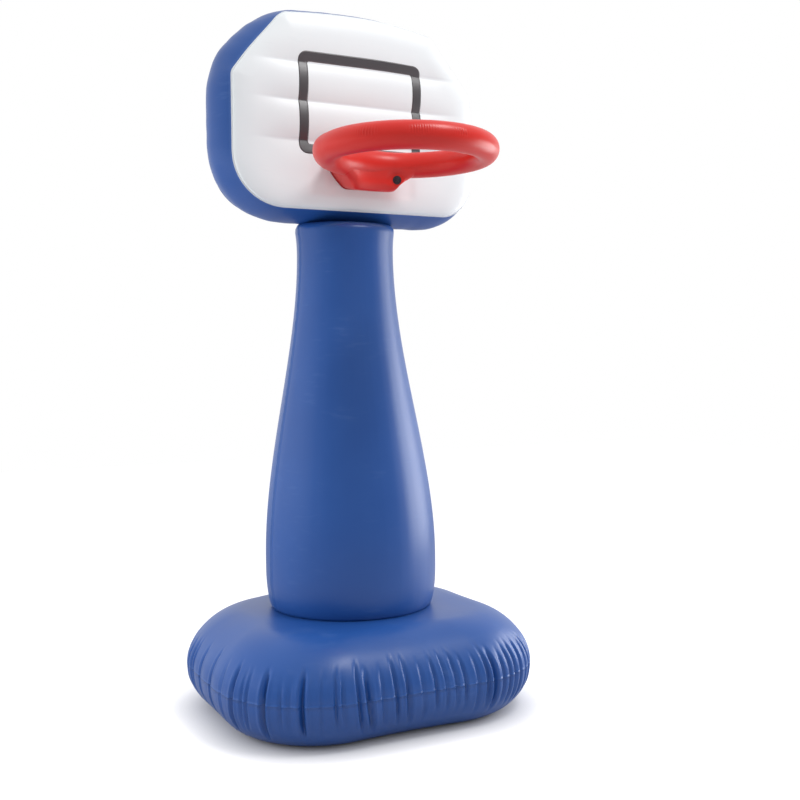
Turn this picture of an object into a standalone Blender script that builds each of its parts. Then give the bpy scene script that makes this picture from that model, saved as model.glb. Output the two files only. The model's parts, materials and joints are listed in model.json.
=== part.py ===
"""Free-standing inflatable basketball hoop, built from welded film sheets.

A water-ballasted cushion carries a bottle-shaped column, a backboard with inner webs and
a tubular ring.  Every air chamber has a push-in valve: a flange on the film, a stem that
slides in it and a stopper that swings open on its strap.  Metres, +Z up, the board and
the ring face -Y, and the column's axis is the Z axis.
"""
import math

import bmesh
import bpy
from mathutils import Matrix, Vector
from mathutils.bvhtree import BVHTree

# Film, weld seams and clearances
FILM = 0.0004
GAP = 0.0003
SEAM_LIP = 0.0035
OVERRUN = 0.004

# Base cushion
BASE_WIDTH = 0.974
BASE_DEPTH = 0.840
BASE_AHEAD = 0.040
BASE_CORNER = 0.295
BASE_SIDE_HEIGHT = 0.278
BASE_SIDE_ROUND = 0.130
BASE_CROWN = 0.0195
BASE_TOP = BASE_SIDE_HEIGHT + BASE_CROWN
BASE_SEAT_MARGIN = 0.008
SIDE_ROUND_SHARE = 0.82
FLOOR_CUT = 0.0005
PUCKER_DEPTH = 0.006
PUCKER_COUNT = 32
WATER_DEPTH = 0.052
WATER_CLEARANCE = 0.012

# Column
COLUMN_HEIGHT = 1.1995
BELLY_RADIUS = 0.262
BELLY_HEIGHT = 0.1525
NECK_RADIUS = 0.148
NECK_LENGTH = 0.117
MOUTH_HALF_WIDTH = 0.153
FOOT_TUCK = 0.022
FOOT_ROUND_HEIGHT = 0.120
FOOT_WELD_MARGIN = 0.008

# Backboard
BOARD_HALF_WIDTH = 0.390
BOARD_HEIGHT = 0.569
BOARD_DEPTH = 0.1894
BOARD_CORNER = 0.110
CHAMFER_HEIGHT = 0.187
CHAMFER_HALF_WIDTH = 0.242
TOP_ROUND_HEIGHT = 0.011
TOP_HALF_WIDTH = 0.225
TOP_BOW = 0.014
BAND_BULGE = 0.044
# Shares of that bulge at the taut lower corners and along the top
CORNER_BULGE_SHARE = 0.55
TOP_BULGE_SHARE = 0.65
WELD_MARGIN = 0.010
CHANNEL_BULGE = 0.020
EDGE_ROUND = 0.070
LOWER_CHANNEL_HEIGHT = 0.1938
MIDDLE_CHANNEL_HEIGHT = 0.1147
UPPER_CHANNEL_HEIGHT = 0.1099
GROOVE_HALF_LENGTH = 0.2965
GROOVE_DEPTH_SHARE = 0.15
WEB_FLANGE = 0.012
BOARD_BOTTOM = BASE_TOP + COLUMN_HEIGHT
BOARD_TOP = BOARD_BOTTOM + BOARD_HEIGHT
CHAMFER_END = BOARD_TOP - TOP_ROUND_HEIGHT
CHAMFER_START = CHAMFER_END - CHAMFER_HEIGHT
LOWER_GROOVE = BOARD_BOTTOM + LOWER_CHANNEL_HEIGHT
MIDDLE_GROOVE = LOWER_GROOVE + MIDDLE_CHANNEL_HEIGHT
UPPER_GROOVE = MIDDLE_GROOVE + UPPER_CHANNEL_HEIGHT
GROOVE_HEIGHTS = (LOWER_GROOVE, MIDDLE_GROOVE, UPPER_GROOVE)

# Printed square behind the ring
SQUARE_HALF_WIDTH = 0.199
SQUARE_ABOVE_GROOVE = 0.0321
SQUARE_BELOW_GROOVE = 0.0258
SQUARE_TOP = UPPER_GROOVE + SQUARE_ABOVE_GROOVE
SQUARE_BOTTOM = LOWER_GROOVE - SQUARE_BELOW_GROOVE
SQUARE_SIDE_BAR = 0.029
PRINT_THICKNESS = 0.0002

# Ring and its lug
RING_RADIUS = 0.2173
TUBE_RADIUS = 0.0347
RING_REACH = 0.3043
RING_RISE = 0.1248
RING_LIP = 0.0025
LUG_BELOW_RING = 0.0668
LUG_ABOVE_RING = 0.0182
LUG_BOTTOM_HALF_WIDTH = 0.066
LUG_TOP_HALF_WIDTH = 0.150
LUG_FRONT_REACH = 0.024
LUG_EDGE_ROUND = 0.004
LUG_WELD_MARGIN = 0.004
LUG_SEAT_BULGE = 0.017
RING_AHEAD = BOARD_DEPTH / 2 + RING_REACH
RING_HEIGHT = BOARD_BOTTOM + RING_RISE
LUG_BOTTOM = RING_HEIGHT - LUG_BELOW_RING
LUG_TOP = RING_HEIGHT + LUG_ABOVE_RING

# Valve of the usual size; the others are shares of it
VALVE_FLANGE_RADIUS = 0.0150
VALVE_FLANGE_THICKNESS = 0.0012
VALVE_SLEEVE_DEPTH = 0.0120
VALVE_WALL = 0.0008
STEM_RADIUS = 0.0068
STEM_TRAVEL = 0.0090
STEM_BEAD = 0.0012
COLLAR_RADIUS = 0.0088
COLLAR_THICKNESS = 0.0014
PLUG_RADIUS = 0.0042
PLUG_DEPTH = 0.0040
PLUG_TIP_RADIUS = 0.0024
CAP_RADIUS = 0.0080
CAP_THICKNESS = 0.0013
HINGE_DISTANCE = 0.0125
HINGE_ROLL_RADIUS = 0.0010
STRAP_WIDTH = 0.0060
TAB_LENGTH = 0.0050
VALVE_SIZE_SHARES = {"ballast": 1.7, "base_air": 1.0, "column": 1.0, "board": 1.0, "ring": 0.85}
COLUMN_VALVE_RISE = 0.2325
BOARD_VALVE_RISE = 0.080
RING_VALVE_RISE = 0.020
# Places of the other valves as shares of the base's width and depth, and of the lug's width
BALLAST_VALVE_SHARES = (0.308, 0.244)
BASE_AIR_VALVE_SHARES = (-0.0185, 0.378)
RING_VALVE_SHARE = 0.95

# Facets
COLUMN_SEGMENTS = 12
BAND_SEGMENTS = 4
RING_SEGMENTS = 30
TUBE_SEGMENTS = 4
VALVE_SEGMENTS = 16
HIDDEN_SEGMENTS = 36


def srgb(red, green, blue):
    """A linear colour from values of 0 to 255 as a picture shows them."""
    def linear(value):
        share = value / 255
        return share / 12.92 if share <= 0.04045 else ((share + 0.055) / 1.055) ** 2.4
    return (linear(red), linear(green), linear(blue), 1.0)


# Colour, roughness and metallic value of each material
FINISHES = {
    "blue_film": (srgb(62, 86, 158), 0.38, 0.0),
    "white_film": (srgb(236, 237, 243), 0.36, 0.0),
    "red_film": (srgb(205, 52, 46), 0.26, 0.0),
    "black_print": (srgb(44, 40, 48), 0.20, 0.0),
    "valve_vinyl": (srgb(52, 46, 54), 0.40, 0.0),
    "ballast_water": (srgb(120, 150, 165), 0.10, 0.0),
}


def clear_scene():
    for thing in list(bpy.data.objects):
        bpy.data.objects.remove(thing, do_unlink=True)


def material(name):
    """The Principled material of one finish, made once."""
    found = bpy.data.materials.get(name)
    if found:
        return found
    colour, roughness, metallic = FINISHES[name]
    made = bpy.data.materials.new(name)
    made.use_nodes = True
    shader = made.node_tree.nodes["Principled BSDF"]
    shader.inputs["Base Color"].default_value = colour
    shader.inputs["Roughness"].default_value = roughness
    shader.inputs["Metallic"].default_value = metallic
    made.diffuse_color = colour
    return made


def add_object(name, bm, finish, smooth=True):
    """A named object from a bmesh, with its material."""
    for face in bm.faces:
        face.smooth = smooth
    mesh = bpy.data.meshes.new(name)
    bm.to_mesh(mesh)
    bm.free()
    thing = bpy.data.objects.new(name, mesh)
    mesh.materials.append(material(finish))
    bpy.context.collection.objects.link(thing)
    return thing


def add_closed(name, bm, finish, smooth=True):
    """A named object from a closed bmesh, its faces turned outward."""
    bmesh.ops.recalc_face_normals(bm, faces=bm.faces)
    return add_object(name, bm, finish, smooth)


def add_sheet(name, bm, inside, finish, thickness=FILM):
    """A welded sheet: an open skin, given its thickness towards the point inside it."""
    bmesh.ops.recalc_face_normals(bm, faces=bm.faces)
    outward = sum(f.normal.dot(f.calc_center_median() - inside) * f.calc_area() for f in bm.faces)
    if outward < 0:
        bmesh.ops.reverse_faces(bm, faces=bm.faces)
    return give_wall(add_object(name, bm, finish), thickness)


def give_wall(sheet, thickness):
    """Thicken a skin on its inner side."""
    wall = sheet.modifiers.new("film", "SOLIDIFY")
    wall.thickness = thickness
    wall.offset = -1
    wall.use_even_offset = True
    return sheet


def first_row(bm, points, closed):
    """A row of vertices joined by edges."""
    row = [bm.verts.new(p) for p in points]
    pairs = list(zip(row, row[1:])) + ([(row[-1], row[0])] if closed else [])
    for start, end in pairs:
        bm.edges.new((start, end))
    return row


def next_row(bm, row, points, closed):
    """Extrude a row of vertices to new points, and return the new row."""
    pairs = list(zip(row, row[1:])) + ([(row[-1], row[0])] if closed else [])
    edges = [bm.edges.get(pair) for pair in pairs]
    grown = set(bmesh.ops.extrude_edge_only(bm, edges=edges)["geom"])
    new = [next(e.other_vert(v) for e in v.link_edges if e.other_vert(v) in grown) for v in row]
    for vertex, point in zip(new, points):
        vertex.co = point
    return new


def loft(rows, closed, capped=False):
    """A skin extruded row by row, with a flat face over its last row if capped."""
    bm = bmesh.new()
    row = first_row(bm, rows[0], closed)
    for points in rows[1:]:
        row = next_row(bm, row, points, closed)
    if capped:
        bm.faces.new(row)
    return bm


def turned(profile, segments=VALVE_SEGMENTS):
    """A closed profile of (radius, height) points, spun about Z."""
    bm = bmesh.new()
    row = first_row(bm, [(r, 0, z) for r, z in profile], True)
    edges = [bm.edges.get(pair) for pair in zip(row, row[1:] + row[:1])]
    bmesh.ops.spin(bm, geom=row + edges, cent=(0, 0, 0), axis=(0, 0, 1), angle=math.tau,
                   steps=segments, use_merge=True)
    bmesh.ops.remove_doubles(bm, verts=bm.verts, dist=0.000001)
    bmesh.ops.dissolve_degenerate(bm, edges=bm.edges, dist=0.000001)
    return bm


def box(low, high):
    """A block between two corners."""
    bm = bmesh.new()
    size = Vector(high) - Vector(low)
    middle = (Vector(high) + Vector(low)) / 2
    bmesh.ops.create_cube(bm, size=1, matrix=Matrix.Translation(middle) @ Matrix.Diagonal(size.to_4d()))
    return bm


def helper(name, bm):
    """A hidden cutting or joining body."""
    body = add_closed(name, bm, "blue_film", False)
    body.hide_render = True
    body.display_type = "WIRE"
    return body


def combine(target, tool, operation):
    """An exact Boolean of a hidden body with an object."""
    step = target.modifiers.new(tool.name, "BOOLEAN")
    step.operation = operation
    step.solver = "EXACT"
    step.object = tool


def between(low, high, share):
    """The value at a share of the way from low to high."""
    return low + (high - low) * share


def smoothstep(low, high, value):
    """0 below low, 1 above high, and an even ease between."""
    share = min(max((value - low) / (high - low), 0), 1)
    return share * share * (3 - 2 * share)


# Base cushion


def base_outline(share):
    """A point of the rounded rectangle at a share of its length, counted from the right side."""
    along, across = BASE_DEPTH / 2 - BASE_CORNER, BASE_WIDTH / 2 - BASE_CORNER
    arc = BASE_CORNER * math.pi / 2
    lengths = (along + along, arc, across + across, arc)
    rest = (share % 1) * (sum(lengths) + sum(lengths))
    turn = 0
    for side, length in enumerate(lengths + lengths):
        if rest <= length:
            break
        rest -= length
        turn += side % 2
    quarter = turn % 4
    halves = (along, across) if quarter % 2 == 0 else (across, along)
    if side % 2 == 0:
        local = Vector((halves[1] + BASE_CORNER, rest - halves[0]))
    else:
        angle = rest / BASE_CORNER
        round_off = Vector((math.cos(angle), math.sin(angle))) * BASE_CORNER
        local = Vector((halves[1], halves[0])) + round_off
    point = Matrix.Rotation(quarter * math.pi / 2, 2) @ local
    return point - Vector((0, BASE_AHEAD))


def base_row(stations, rise, pucker=0):
    """One row round the cushion; rise runs from -1 at the floor, by 0 at the seam, to 1 and 2 at the seat.

    Up to 1 it is the sine of the side's rounding, from 1 to 2 it crosses the top to the
    column's seat.  Every second station is drawn in by the pucker.
    """
    middle = BASE_SIDE_HEIGHT / 2
    side = max(-1, min(rise, 1))
    points = []
    for k in range(stations):
        edge = base_outline(k / stations)
        seat = edge.normalized() * (foot_disc_radius() + BASE_SEAT_MARGIN)
        length = (edge - seat).length
        round_in = min(BASE_SIDE_ROUND, length * SIDE_ROUND_SHARE)
        inset = round_in * (1 - math.sqrt(1 - side * side))
        if k % 2:
            inset += pucker
        inset += (length - inset) * max(0, rise - 1)
        place = edge + (seat - edge) * (inset / length)
        height = middle + middle * side
        if rise > 0:
            height += BASE_CROWN * math.sin(math.pi / 2 * inset / length)
        points.append(Vector((place.x, place.y, height)))
    return points


def seam_row(stations, height):
    """The edge of the lip that runs round the base outside its seam."""
    edges = [base_outline(k / stations) for k in range(stations)]
    lips = []
    for k, edge in enumerate(edges):
        tangent = edges[(k + 1) % stations] - edges[k - 1]
        out = Vector((tangent.y, -tangent.x)).normalized() * SEAM_LIP
        lips.append(Vector((edge.x + out.x, edge.y + out.y, height)))
    return lips


def base_sheets():
    """The top and bottom sheets of the base, gathered into puckers at the seam between them."""
    stations = 2 * PUCKER_COUNT
    middle = BASE_SIDE_HEIGHT / 2
    inside = Vector((0, -BASE_AHEAD, middle))
    offset = Vector((0, 0, GAP / 2 + FILM))
    rise_shares = (0.0, 0.30, 0.60, 0.86, 1.0)

    def side(sign):
        rows = [seam_row(stations, middle)]
        for share in rise_shares:
            fade = (1 - share * share) * PUCKER_DEPTH
            rows.append(base_row(stations, sign * share, fade))
        return rows

    upper = side(1) + [base_row(stations, 2)]
    rows = [[p + offset for p in row] for row in upper[:2]] + upper[2:]
    add_sheet("base_top_sheet", loft(rows, True, capped=True), inside, "blue_film")

    cut_share = middle / (middle + FLOOR_CUT)
    lower = side(-1)[:-1] + [base_row(stations, -cut_share)]
    rows = [[p - offset for p in row] for row in lower[:2]] + lower[2:]
    for point in rows[-1]:
        point.z = 0
    add_sheet("base_bottom_sheet", loft(rows, True, capped=True), inside, "blue_film")


def ballast_water():
    """The water in the base, clear of its film, up to the fill level."""
    middle = BASE_SIDE_HEIGHT / 2
    floor = FILM + GAP
    rows = []
    for level_share in (0.0, 0.35, 0.70, 1.0):
        height = between(floor, WATER_DEPTH, level_share)
        rise = -(middle - height) / middle
        row = base_row(HIDDEN_SEGMENTS, rise)
        middle_point = Vector((0, -BASE_AHEAD, 0))
        inner = []
        for point in row:
            flat = Vector((point.x, point.y, 0)) - middle_point
            inner.append(middle_point + flat - flat.normalized() * WATER_CLEARANCE + Vector((0, 0, height)))
        rows.append(inner)
    bm = loft(rows, True, capped=True)
    bm.faces.new([v for v in bm.verts if abs(v.co.z - floor) < GAP / 2])
    return add_closed("base_ballast_water", bm, "ballast_water")


# Column


def foot_height():
    """The height of the column's lower edge, on its foot disc."""
    return BASE_TOP + GAP + FILM + GAP


def column_radius(height):
    """The column's radius: a tucked-in foot, a full belly and an eased taper to the neck."""
    foot = foot_height()
    tucked = max(0, foot + FOOT_ROUND_HEIGHT - height) / FOOT_ROUND_HEIGHT
    tuck = FOOT_TUCK * (1 - math.sqrt(max(0, 1 - tucked * tucked)))
    belly_top, neck_start = BASE_TOP + BELLY_HEIGHT, BOARD_BOTTOM - NECK_LENGTH
    return between(BELLY_RADIUS, NECK_RADIUS, smoothstep(belly_top, neck_start, height)) - tuck


def band_height(y):
    """The underside of the board's band at a depth, on its flat facets."""
    share = min(max((y + BOARD_DEPTH / 2) / BOARD_DEPTH, 0), 1)
    low = min(int(share * BAND_SEGMENTS), BAND_SEGMENTS - 1)
    bulge = [BAND_BULGE * band_share(k / BAND_SEGMENTS) for k in (low, low + 1)]
    part = share * BAND_SEGMENTS - low
    return BOARD_BOTTOM - between(bulge[0], bulge[1], part)


def column_panel(name, sign):
    """Half the column, front or back, with a weld lip down each side."""
    foot = foot_height()
    seam = GAP / 2 + FILM
    mouth_half_depth = BOARD_DEPTH / 2 - 2 * seam
    shoulder_share = 0.25
    round_shares = (0.0, 0.13, 0.50, 1.0)
    bell_shares = (0.0, 0.16, 0.33, 0.5, 0.67, 0.84, 1.0)
    heights = [foot + FOOT_ROUND_HEIGHT * s for s in round_shares]
    heights += [between(BASE_TOP + BELLY_HEIGHT, BOARD_BOTTOM - NECK_LENGTH, s) for s in bell_shares]

    def row(half_width, half_depth, height_at):
        points = []
        for k in range(COLUMN_SEGMENTS + 1):
            angle = math.pi * k / COLUMN_SEGMENTS
            x, y = half_width * math.cos(angle), sign * (half_depth * math.sin(angle) + seam)
            points.append(Vector((x, y, height_at(y))))
        lip = Vector((SEAM_LIP, 0, 0))
        return [points[0] + lip] + points + [points[-1] - lip]

    rows = [row(column_radius(z), column_radius(z), lambda y, z=z: z) for z in heights]
    shoulder = BOARD_BOTTOM - (NECK_LENGTH + BAND_BULGE) / 2
    half_depth = between(NECK_RADIUS, mouth_half_depth, shoulder_share)
    rows.append(row((NECK_RADIUS + MOUTH_HALF_WIDTH) / 2, half_depth, lambda y: shoulder))
    rows.append(row(MOUTH_HALF_WIDTH, mouth_half_depth, lambda y: band_height(y) - GAP))
    inside = Vector((0, 0, (foot + BOARD_BOTTOM) / 2))
    return add_sheet(name, loft(rows, False), inside, "blue_film")


def foot_disc_radius():
    """The foot disc reaches past the tucked-in foot by its weld margin."""
    return BELLY_RADIUS - FOOT_TUCK + FOOT_WELD_MARGIN


def foot_disc():
    """The disc that closes the column's foot, with its weld margin showing round it."""
    radius, low = foot_disc_radius(), BASE_TOP + GAP
    profile = [(0, low), (radius, low), (radius, low + FILM), (0, low + FILM)]
    return add_closed("column_foot_disc", turned(profile, 2 * COLUMN_SEGMENTS), "blue_film")


# Backboard


def band_share(share):
    """How far the band bulges at a share of the board's depth."""
    fullness_share = 0.8
    return math.sin(math.pi * share) ** fullness_share if 0 < share < 1 else 0.0


def board_half_width(height):
    """Half the board's width: round lower corners, straight sides, slanted upper corners."""
    if height < BOARD_BOTTOM + BOARD_CORNER:
        drop = (BOARD_BOTTOM + BOARD_CORNER - height) / BOARD_CORNER
        return BOARD_HALF_WIDTH - BOARD_CORNER * (1 - math.sqrt(max(0, 1 - drop * drop)))
    if height < CHAMFER_START:
        return BOARD_HALF_WIDTH
    if height < CHAMFER_END:
        return between(BOARD_HALF_WIDTH, CHAMFER_HALF_WIDTH, (height - CHAMFER_START) / CHAMFER_HEIGHT)
    return between(CHAMFER_HALF_WIDTH, TOP_HALF_WIDTH, (height - CHAMFER_END) / TOP_ROUND_HEIGHT)


def board_heights():
    """The heights of the board's rows, on every groove and edge of the printed square."""
    corner_shares, channel_shares = (0.0, 0.10, 1.0), (0.3, 0.7, 1.0)
    heights = [BOARD_BOTTOM + BOARD_CORNER * s for s in corner_shares]
    heights += [LUG_BOTTOM - LUG_WELD_MARGIN, LUG_TOP + LUG_WELD_MARGIN, SQUARE_BOTTOM, GROOVE_HEIGHTS[0]]
    for low, high in zip(GROOVE_HEIGHTS, GROOVE_HEIGHTS[1:]):
        heights += [between(low, high, s) for s in channel_shares]
    heights += [SQUARE_TOP, (SQUARE_TOP + CHAMFER_END) / 2, CHAMFER_END, BOARD_TOP]
    return sorted(heights)


def lug_seat_half_width():
    """The board is flat behind the lug, as far as the lug's weld margin reaches."""
    return LUG_TOP_HALF_WIDTH + LUG_WELD_MARGIN


def board_columns(half_width):
    """The places of a row's vertices across the board, on the lug's seat and the square's bars."""
    inner, halfway = SQUARE_HALF_WIDTH - SQUARE_SIDE_BAR, (SQUARE_HALF_WIDTH + half_width) / 2
    right = sorted([lug_seat_half_width(), inner, SQUARE_HALF_WIDTH, halfway, half_width])
    return [-x for x in reversed(right)] + right


def channel_depth(x, height):
    """How far a sheet stands out from the board's face: channels between the welded grooves."""
    run = BOARD_HALF_WIDTH - CHAMFER_HALF_WIDTH
    slanted = (board_half_width(height) - abs(x)) * CHAMFER_HEIGHT / math.hypot(CHAMFER_HEIGHT, run)
    edge = min(BOARD_HALF_WIDTH - abs(x), BOARD_TOP - height, height - BOARD_BOTTOM, slanted)
    rounding = min(max(edge / EDGE_ROUND, 0), 1)
    fullness = math.sqrt(1 - (1 - rounding) ** 2)
    bounds = (BOARD_BOTTOM,) + GROOVE_HEIGHTS + (BOARD_TOP,)
    ease = EDGE_ROUND / 4
    held = 1 - smoothstep(GROOVE_HALF_LENGTH - ease, GROOVE_HALF_LENGTH + ease, abs(x))
    nearest = min(abs(height - z) for z in GROOVE_HEIGHTS)
    span = max(high - low for low, high in zip(bounds, bounds[1:]) if low <= height <= high)
    dip = held * (1 - min(nearest / (span / 2), 1)) ** 2
    return CHANNEL_BULGE * fullness * (1 - (1 - GROOVE_DEPTH_SHARE) * dip)


def board_row(height, side):
    """One row of a board sheet; side is -1 for the front and 1 for the back."""
    row = []
    half_width = board_half_width(height)
    bow = TOP_BOW * smoothstep(GROOVE_HEIGHTS[-1], BOARD_TOP, height)
    behind_lug = side < 0 and LUG_BOTTOM - LUG_WELD_MARGIN <= height <= LUG_TOP + LUG_WELD_MARGIN
    for x in board_columns(half_width):
        bulge = channel_depth(x, height)
        if behind_lug and abs(x) <= lug_seat_half_width():
            bulge = LUG_SEAT_BULGE
        y = side * (BOARD_DEPTH / 2 + bulge)
        row.append(Vector((x, y, height - bow * (x / half_width) ** 2)))
    return row


def board_sheet(name, side, finish):
    """The front or back sheet of the board, held in by the webs along its grooves."""
    rows = [board_row(z, side) for z in board_heights()]
    return add_sheet(name, loft(rows, False), Vector((0, 0, (BOARD_BOTTOM + BOARD_TOP) / 2)), finish)


def board_outline():
    """The closed outline of the board, anticlockwise from its lower left corner, as (x, z)."""
    rows = [board_row(z, 0) for z in board_heights()]
    loop = rows[0] + [row[-1] for row in rows[1:]] + rows[-1][-2::-1] + [row[0] for row in rows[-2:0:-1]]
    return [Vector((p.x, p.z)) for p in loop]


def outline_normals(loop):
    """The outward direction at each point of a closed outline."""
    normals = []
    for k, point in enumerate(loop):
        before = (point - loop[k - 1]).normalized()
        after = (loop[(k + 1) % len(loop)] - point).normalized()
        along = (before + after).normalized()
        normals.append(Vector((along.y, -along.x)))
    return normals


def bulge_share(normal):
    """How much of the band's bulge is left where the outline faces a way, given as (x, z)."""
    if normal.y > 0:
        return between(1, TOP_BULGE_SHARE, normal.y)
    return between(1, CORNER_BULGE_SHARE, abs(math.sin(2 * math.atan2(normal.x, normal.y))))


def board_band():
    """The side band of the board, with a weld margin turned in behind each sheet."""
    loop = board_outline()
    normals = outline_normals(loop)
    reach = BOARD_DEPTH / 2 - FILM - GAP

    def row(y, out, follow=lambda normal: 1):
        outs = [n * out * follow(n) for n in normals]
        return [Vector((p.x + o.x, y, p.y + o.y)) for p, o in zip(loop, outs)]

    rows = [row(-reach, -WELD_MARGIN)]
    for k in range(BAND_SEGMENTS + 1):
        share = k / BAND_SEGMENTS
        rows.append(row(between(-reach, reach, share), BAND_BULGE * band_share(share), bulge_share))
    rows.append(row(reach, -WELD_MARGIN))
    middle = Vector((0, 0, (BOARD_BOTTOM + BOARD_TOP) / 2))
    return add_sheet("board_side_band", loft(rows, True), middle, "blue_film")


def board_web(name, height):
    """An inner web that ties the front groove to the back one, with a flange along each."""
    reach = BOARD_DEPTH / 2 + CHANNEL_BULGE * GROOVE_DEPTH_SHARE - FILM - 2 * GAP
    length = GROOVE_HALF_LENGTH - EDGE_ROUND / 4
    profile = [(-reach, height - WEB_FLANGE), (-reach, height), (reach, height), (reach, height - WEB_FLANGE)]
    rows = [[Vector((x, y, z)) for y, z in profile] for x in (-length, length)]
    return add_sheet(name, loft(rows, False), Vector((0, 0, height - WEB_FLANGE)), "blue_film")


def square_print():
    """The printed square: the faces of the front sheet under its bars, lifted off the film."""
    bm = loft([board_row(z, -1) for z in board_heights()], False)
    inner = SQUARE_HALF_WIDTH - SQUARE_SIDE_BAR
    spare = []
    for face in bm.faces:
        centre = face.calc_center_median()
        within = abs(centre.x) < SQUARE_HALF_WIDTH and SQUARE_BOTTOM < centre.z < SQUARE_TOP
        hollow = abs(centre.x) < inner and GROOVE_HEIGHTS[0] < centre.z < GROOVE_HEIGHTS[-1]
        if not within or hollow:
            spare.append(face)
    bmesh.ops.delete(bm, geom=spare, context="FACES")
    for vertex in bm.verts:
        vertex.co.y -= GAP + PRINT_THICKNESS
    middle = Vector((0, 0, (SQUARE_TOP + SQUARE_BOTTOM) / 2))
    return add_sheet("target_square_print", bm, middle, "black_print", PRINT_THICKNESS)


# Ring


def tube_section(radius, lip, seam):
    """The closed section of the ring's tube as (out, up), its halves parted by the seam."""
    half = [(radius + lip, 0)]
    for k in range(TUBE_SEGMENTS + 1):
        angle = math.pi * k / TUBE_SEGMENTS
        half.append((radius * math.cos(angle), radius * math.sin(angle)))
    half.append((-radius - lip, 0))
    return [(out, up + seam) for out, up in half]


def ring_rows(section):
    """Rows round the ring's axis, one for each point of a section."""
    rows = []
    for out, up in section:
        radius = RING_RADIUS + out
        angles = [math.tau * k / RING_SEGMENTS for k in range(RING_SEGMENTS)]
        rows.append([Vector((radius * math.cos(a), radius * math.sin(a) - RING_AHEAD, RING_HEIGHT + up))
                     for a in angles])
    return rows


def ring_sheet(name, sign):
    """The upper or lower half of the ring's tube, with a lip outside each of its two seams."""
    section = tube_section(TUBE_RADIUS, RING_LIP, GAP / 2 + FILM)
    bm = loft(ring_rows([(out, sign * up) for out, up in section]), True)
    bmesh.ops.recalc_face_normals(bm, faces=bm.faces)
    rising = sum(f.normal.z * f.calc_area() for f in bm.faces)
    if rising * sign < 0:
        bmesh.ops.reverse_faces(bm, faces=bm.faces)
    return give_wall(add_object(name, bm, "red_film"), FILM)


def ring_space(radius_clearance, lip_clearance):
    """The closed space that the ring's tube and its lips take up, with a clearance."""
    half = tube_section(TUBE_RADIUS + radius_clearance, RING_LIP, GAP / 2 + FILM)
    upper = [(out + math.copysign(lip_clearance, out) if k in (0, len(half) - 1) else out,
              max(up, half[0][1] + lip_clearance)) for k, (out, up) in enumerate(half)]
    section = upper + [(out, -up) for out, up in reversed(upper)]
    rows = ring_rows(section)
    bm = loft(rows + [rows[0]], True)
    bmesh.ops.remove_doubles(bm, verts=bm.verts, dist=0.000001)
    return bm


def lug_outline(grow):
    """The lug's outline as (x, z), anticlockwise from its lower middle, grown by a margin."""
    low, high = LUG_BOTTOM - grow, LUG_TOP + grow
    narrow, wide = LUG_BOTTOM_HALF_WIDTH + grow, LUG_TOP_HALF_WIDTH + grow
    side_shares, corner_share = (0.0, 0.12, 0.5, 0.84), 0.92
    lower_share, upper_shares = 0.55, (0.66, 0.44, 0.22)
    half = [(narrow * lower_share, low)]
    half += [(between(narrow, wide, s), between(low, high, s)) for s in side_shares]
    corner = half[-1][0]
    half += [(corner, between(low, high, corner_share)), (corner - (high - low) * (1 - corner_share), high)]
    half += [(wide * s, high) for s in upper_shares]
    return [(0, low)] + half + [(0, high)] + [(-x, z) for x, z in reversed(half)]


def lug_front(x):
    """The curve of the lug's front, inward of the centre line of the ring's tube."""
    return math.sqrt((RING_RADIUS - LUG_FRONT_REACH) ** 2 - x * x) - RING_AHEAD


def ring_lug():
    """The lug: an open-backed skin welded to the board, narrowing into the ring's tube."""
    seat = -(BOARD_DEPTH / 2 + LUG_SEAT_BULGE + GAP + FILM)
    waist_share, tuck_share = 0.5, 0.3
    rows = [[Vector((x, seat, z)) for x, z in lug_outline(grow)] for grow in (LUG_WELD_MARGIN, 0)]
    rows.append([Vector((x, between(seat, lug_front(x), waist_share), z))
                 for x, z in lug_outline(LUG_EDGE_ROUND / 2)])
    rows.append([Vector((x, lug_front(x) + LUG_EDGE_ROUND, z)) for x, z in lug_outline(0)])
    rows.append([Vector((x, lug_front(x), z)) for x, z in lug_outline(-LUG_EDGE_ROUND)])
    rows.append([Vector((x, lug_front(x), between(RING_HEIGHT, z, tuck_share)))
                 for x, z in lug_outline(-LUG_EDGE_ROUND)])
    inside = Vector((0, seat - LUG_EDGE_ROUND, (LUG_BOTTOM + LUG_TOP) / 2))
    lug = add_sheet("ring_lug", loft(rows, True), inside, "red_film")
    clearance = GAP / math.cos(math.pi / 2 / TUBE_SEGMENTS)
    combine(lug, helper("lug_ring_cutter", ring_space(clearance, GAP)), "DIFFERENCE")
    return lug


# Valves


def fuse(name, bm, tools, finish):
    """One solid made of a body and the blocks joined to it."""
    target = add_closed(name, bm, finish)
    bodies = [helper(name + "_block", block) for block in tools]
    for body in bodies:
        combine(target, body, "UNION")
    mesh = bpy.data.meshes.new_from_object(target.evaluated_get(bpy.context.evaluated_depsgraph_get()))
    target.modifiers.clear()
    target.data = mesh
    for body in bodies:
        bpy.data.objects.remove(body, do_unlink=True)
    return target


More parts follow.
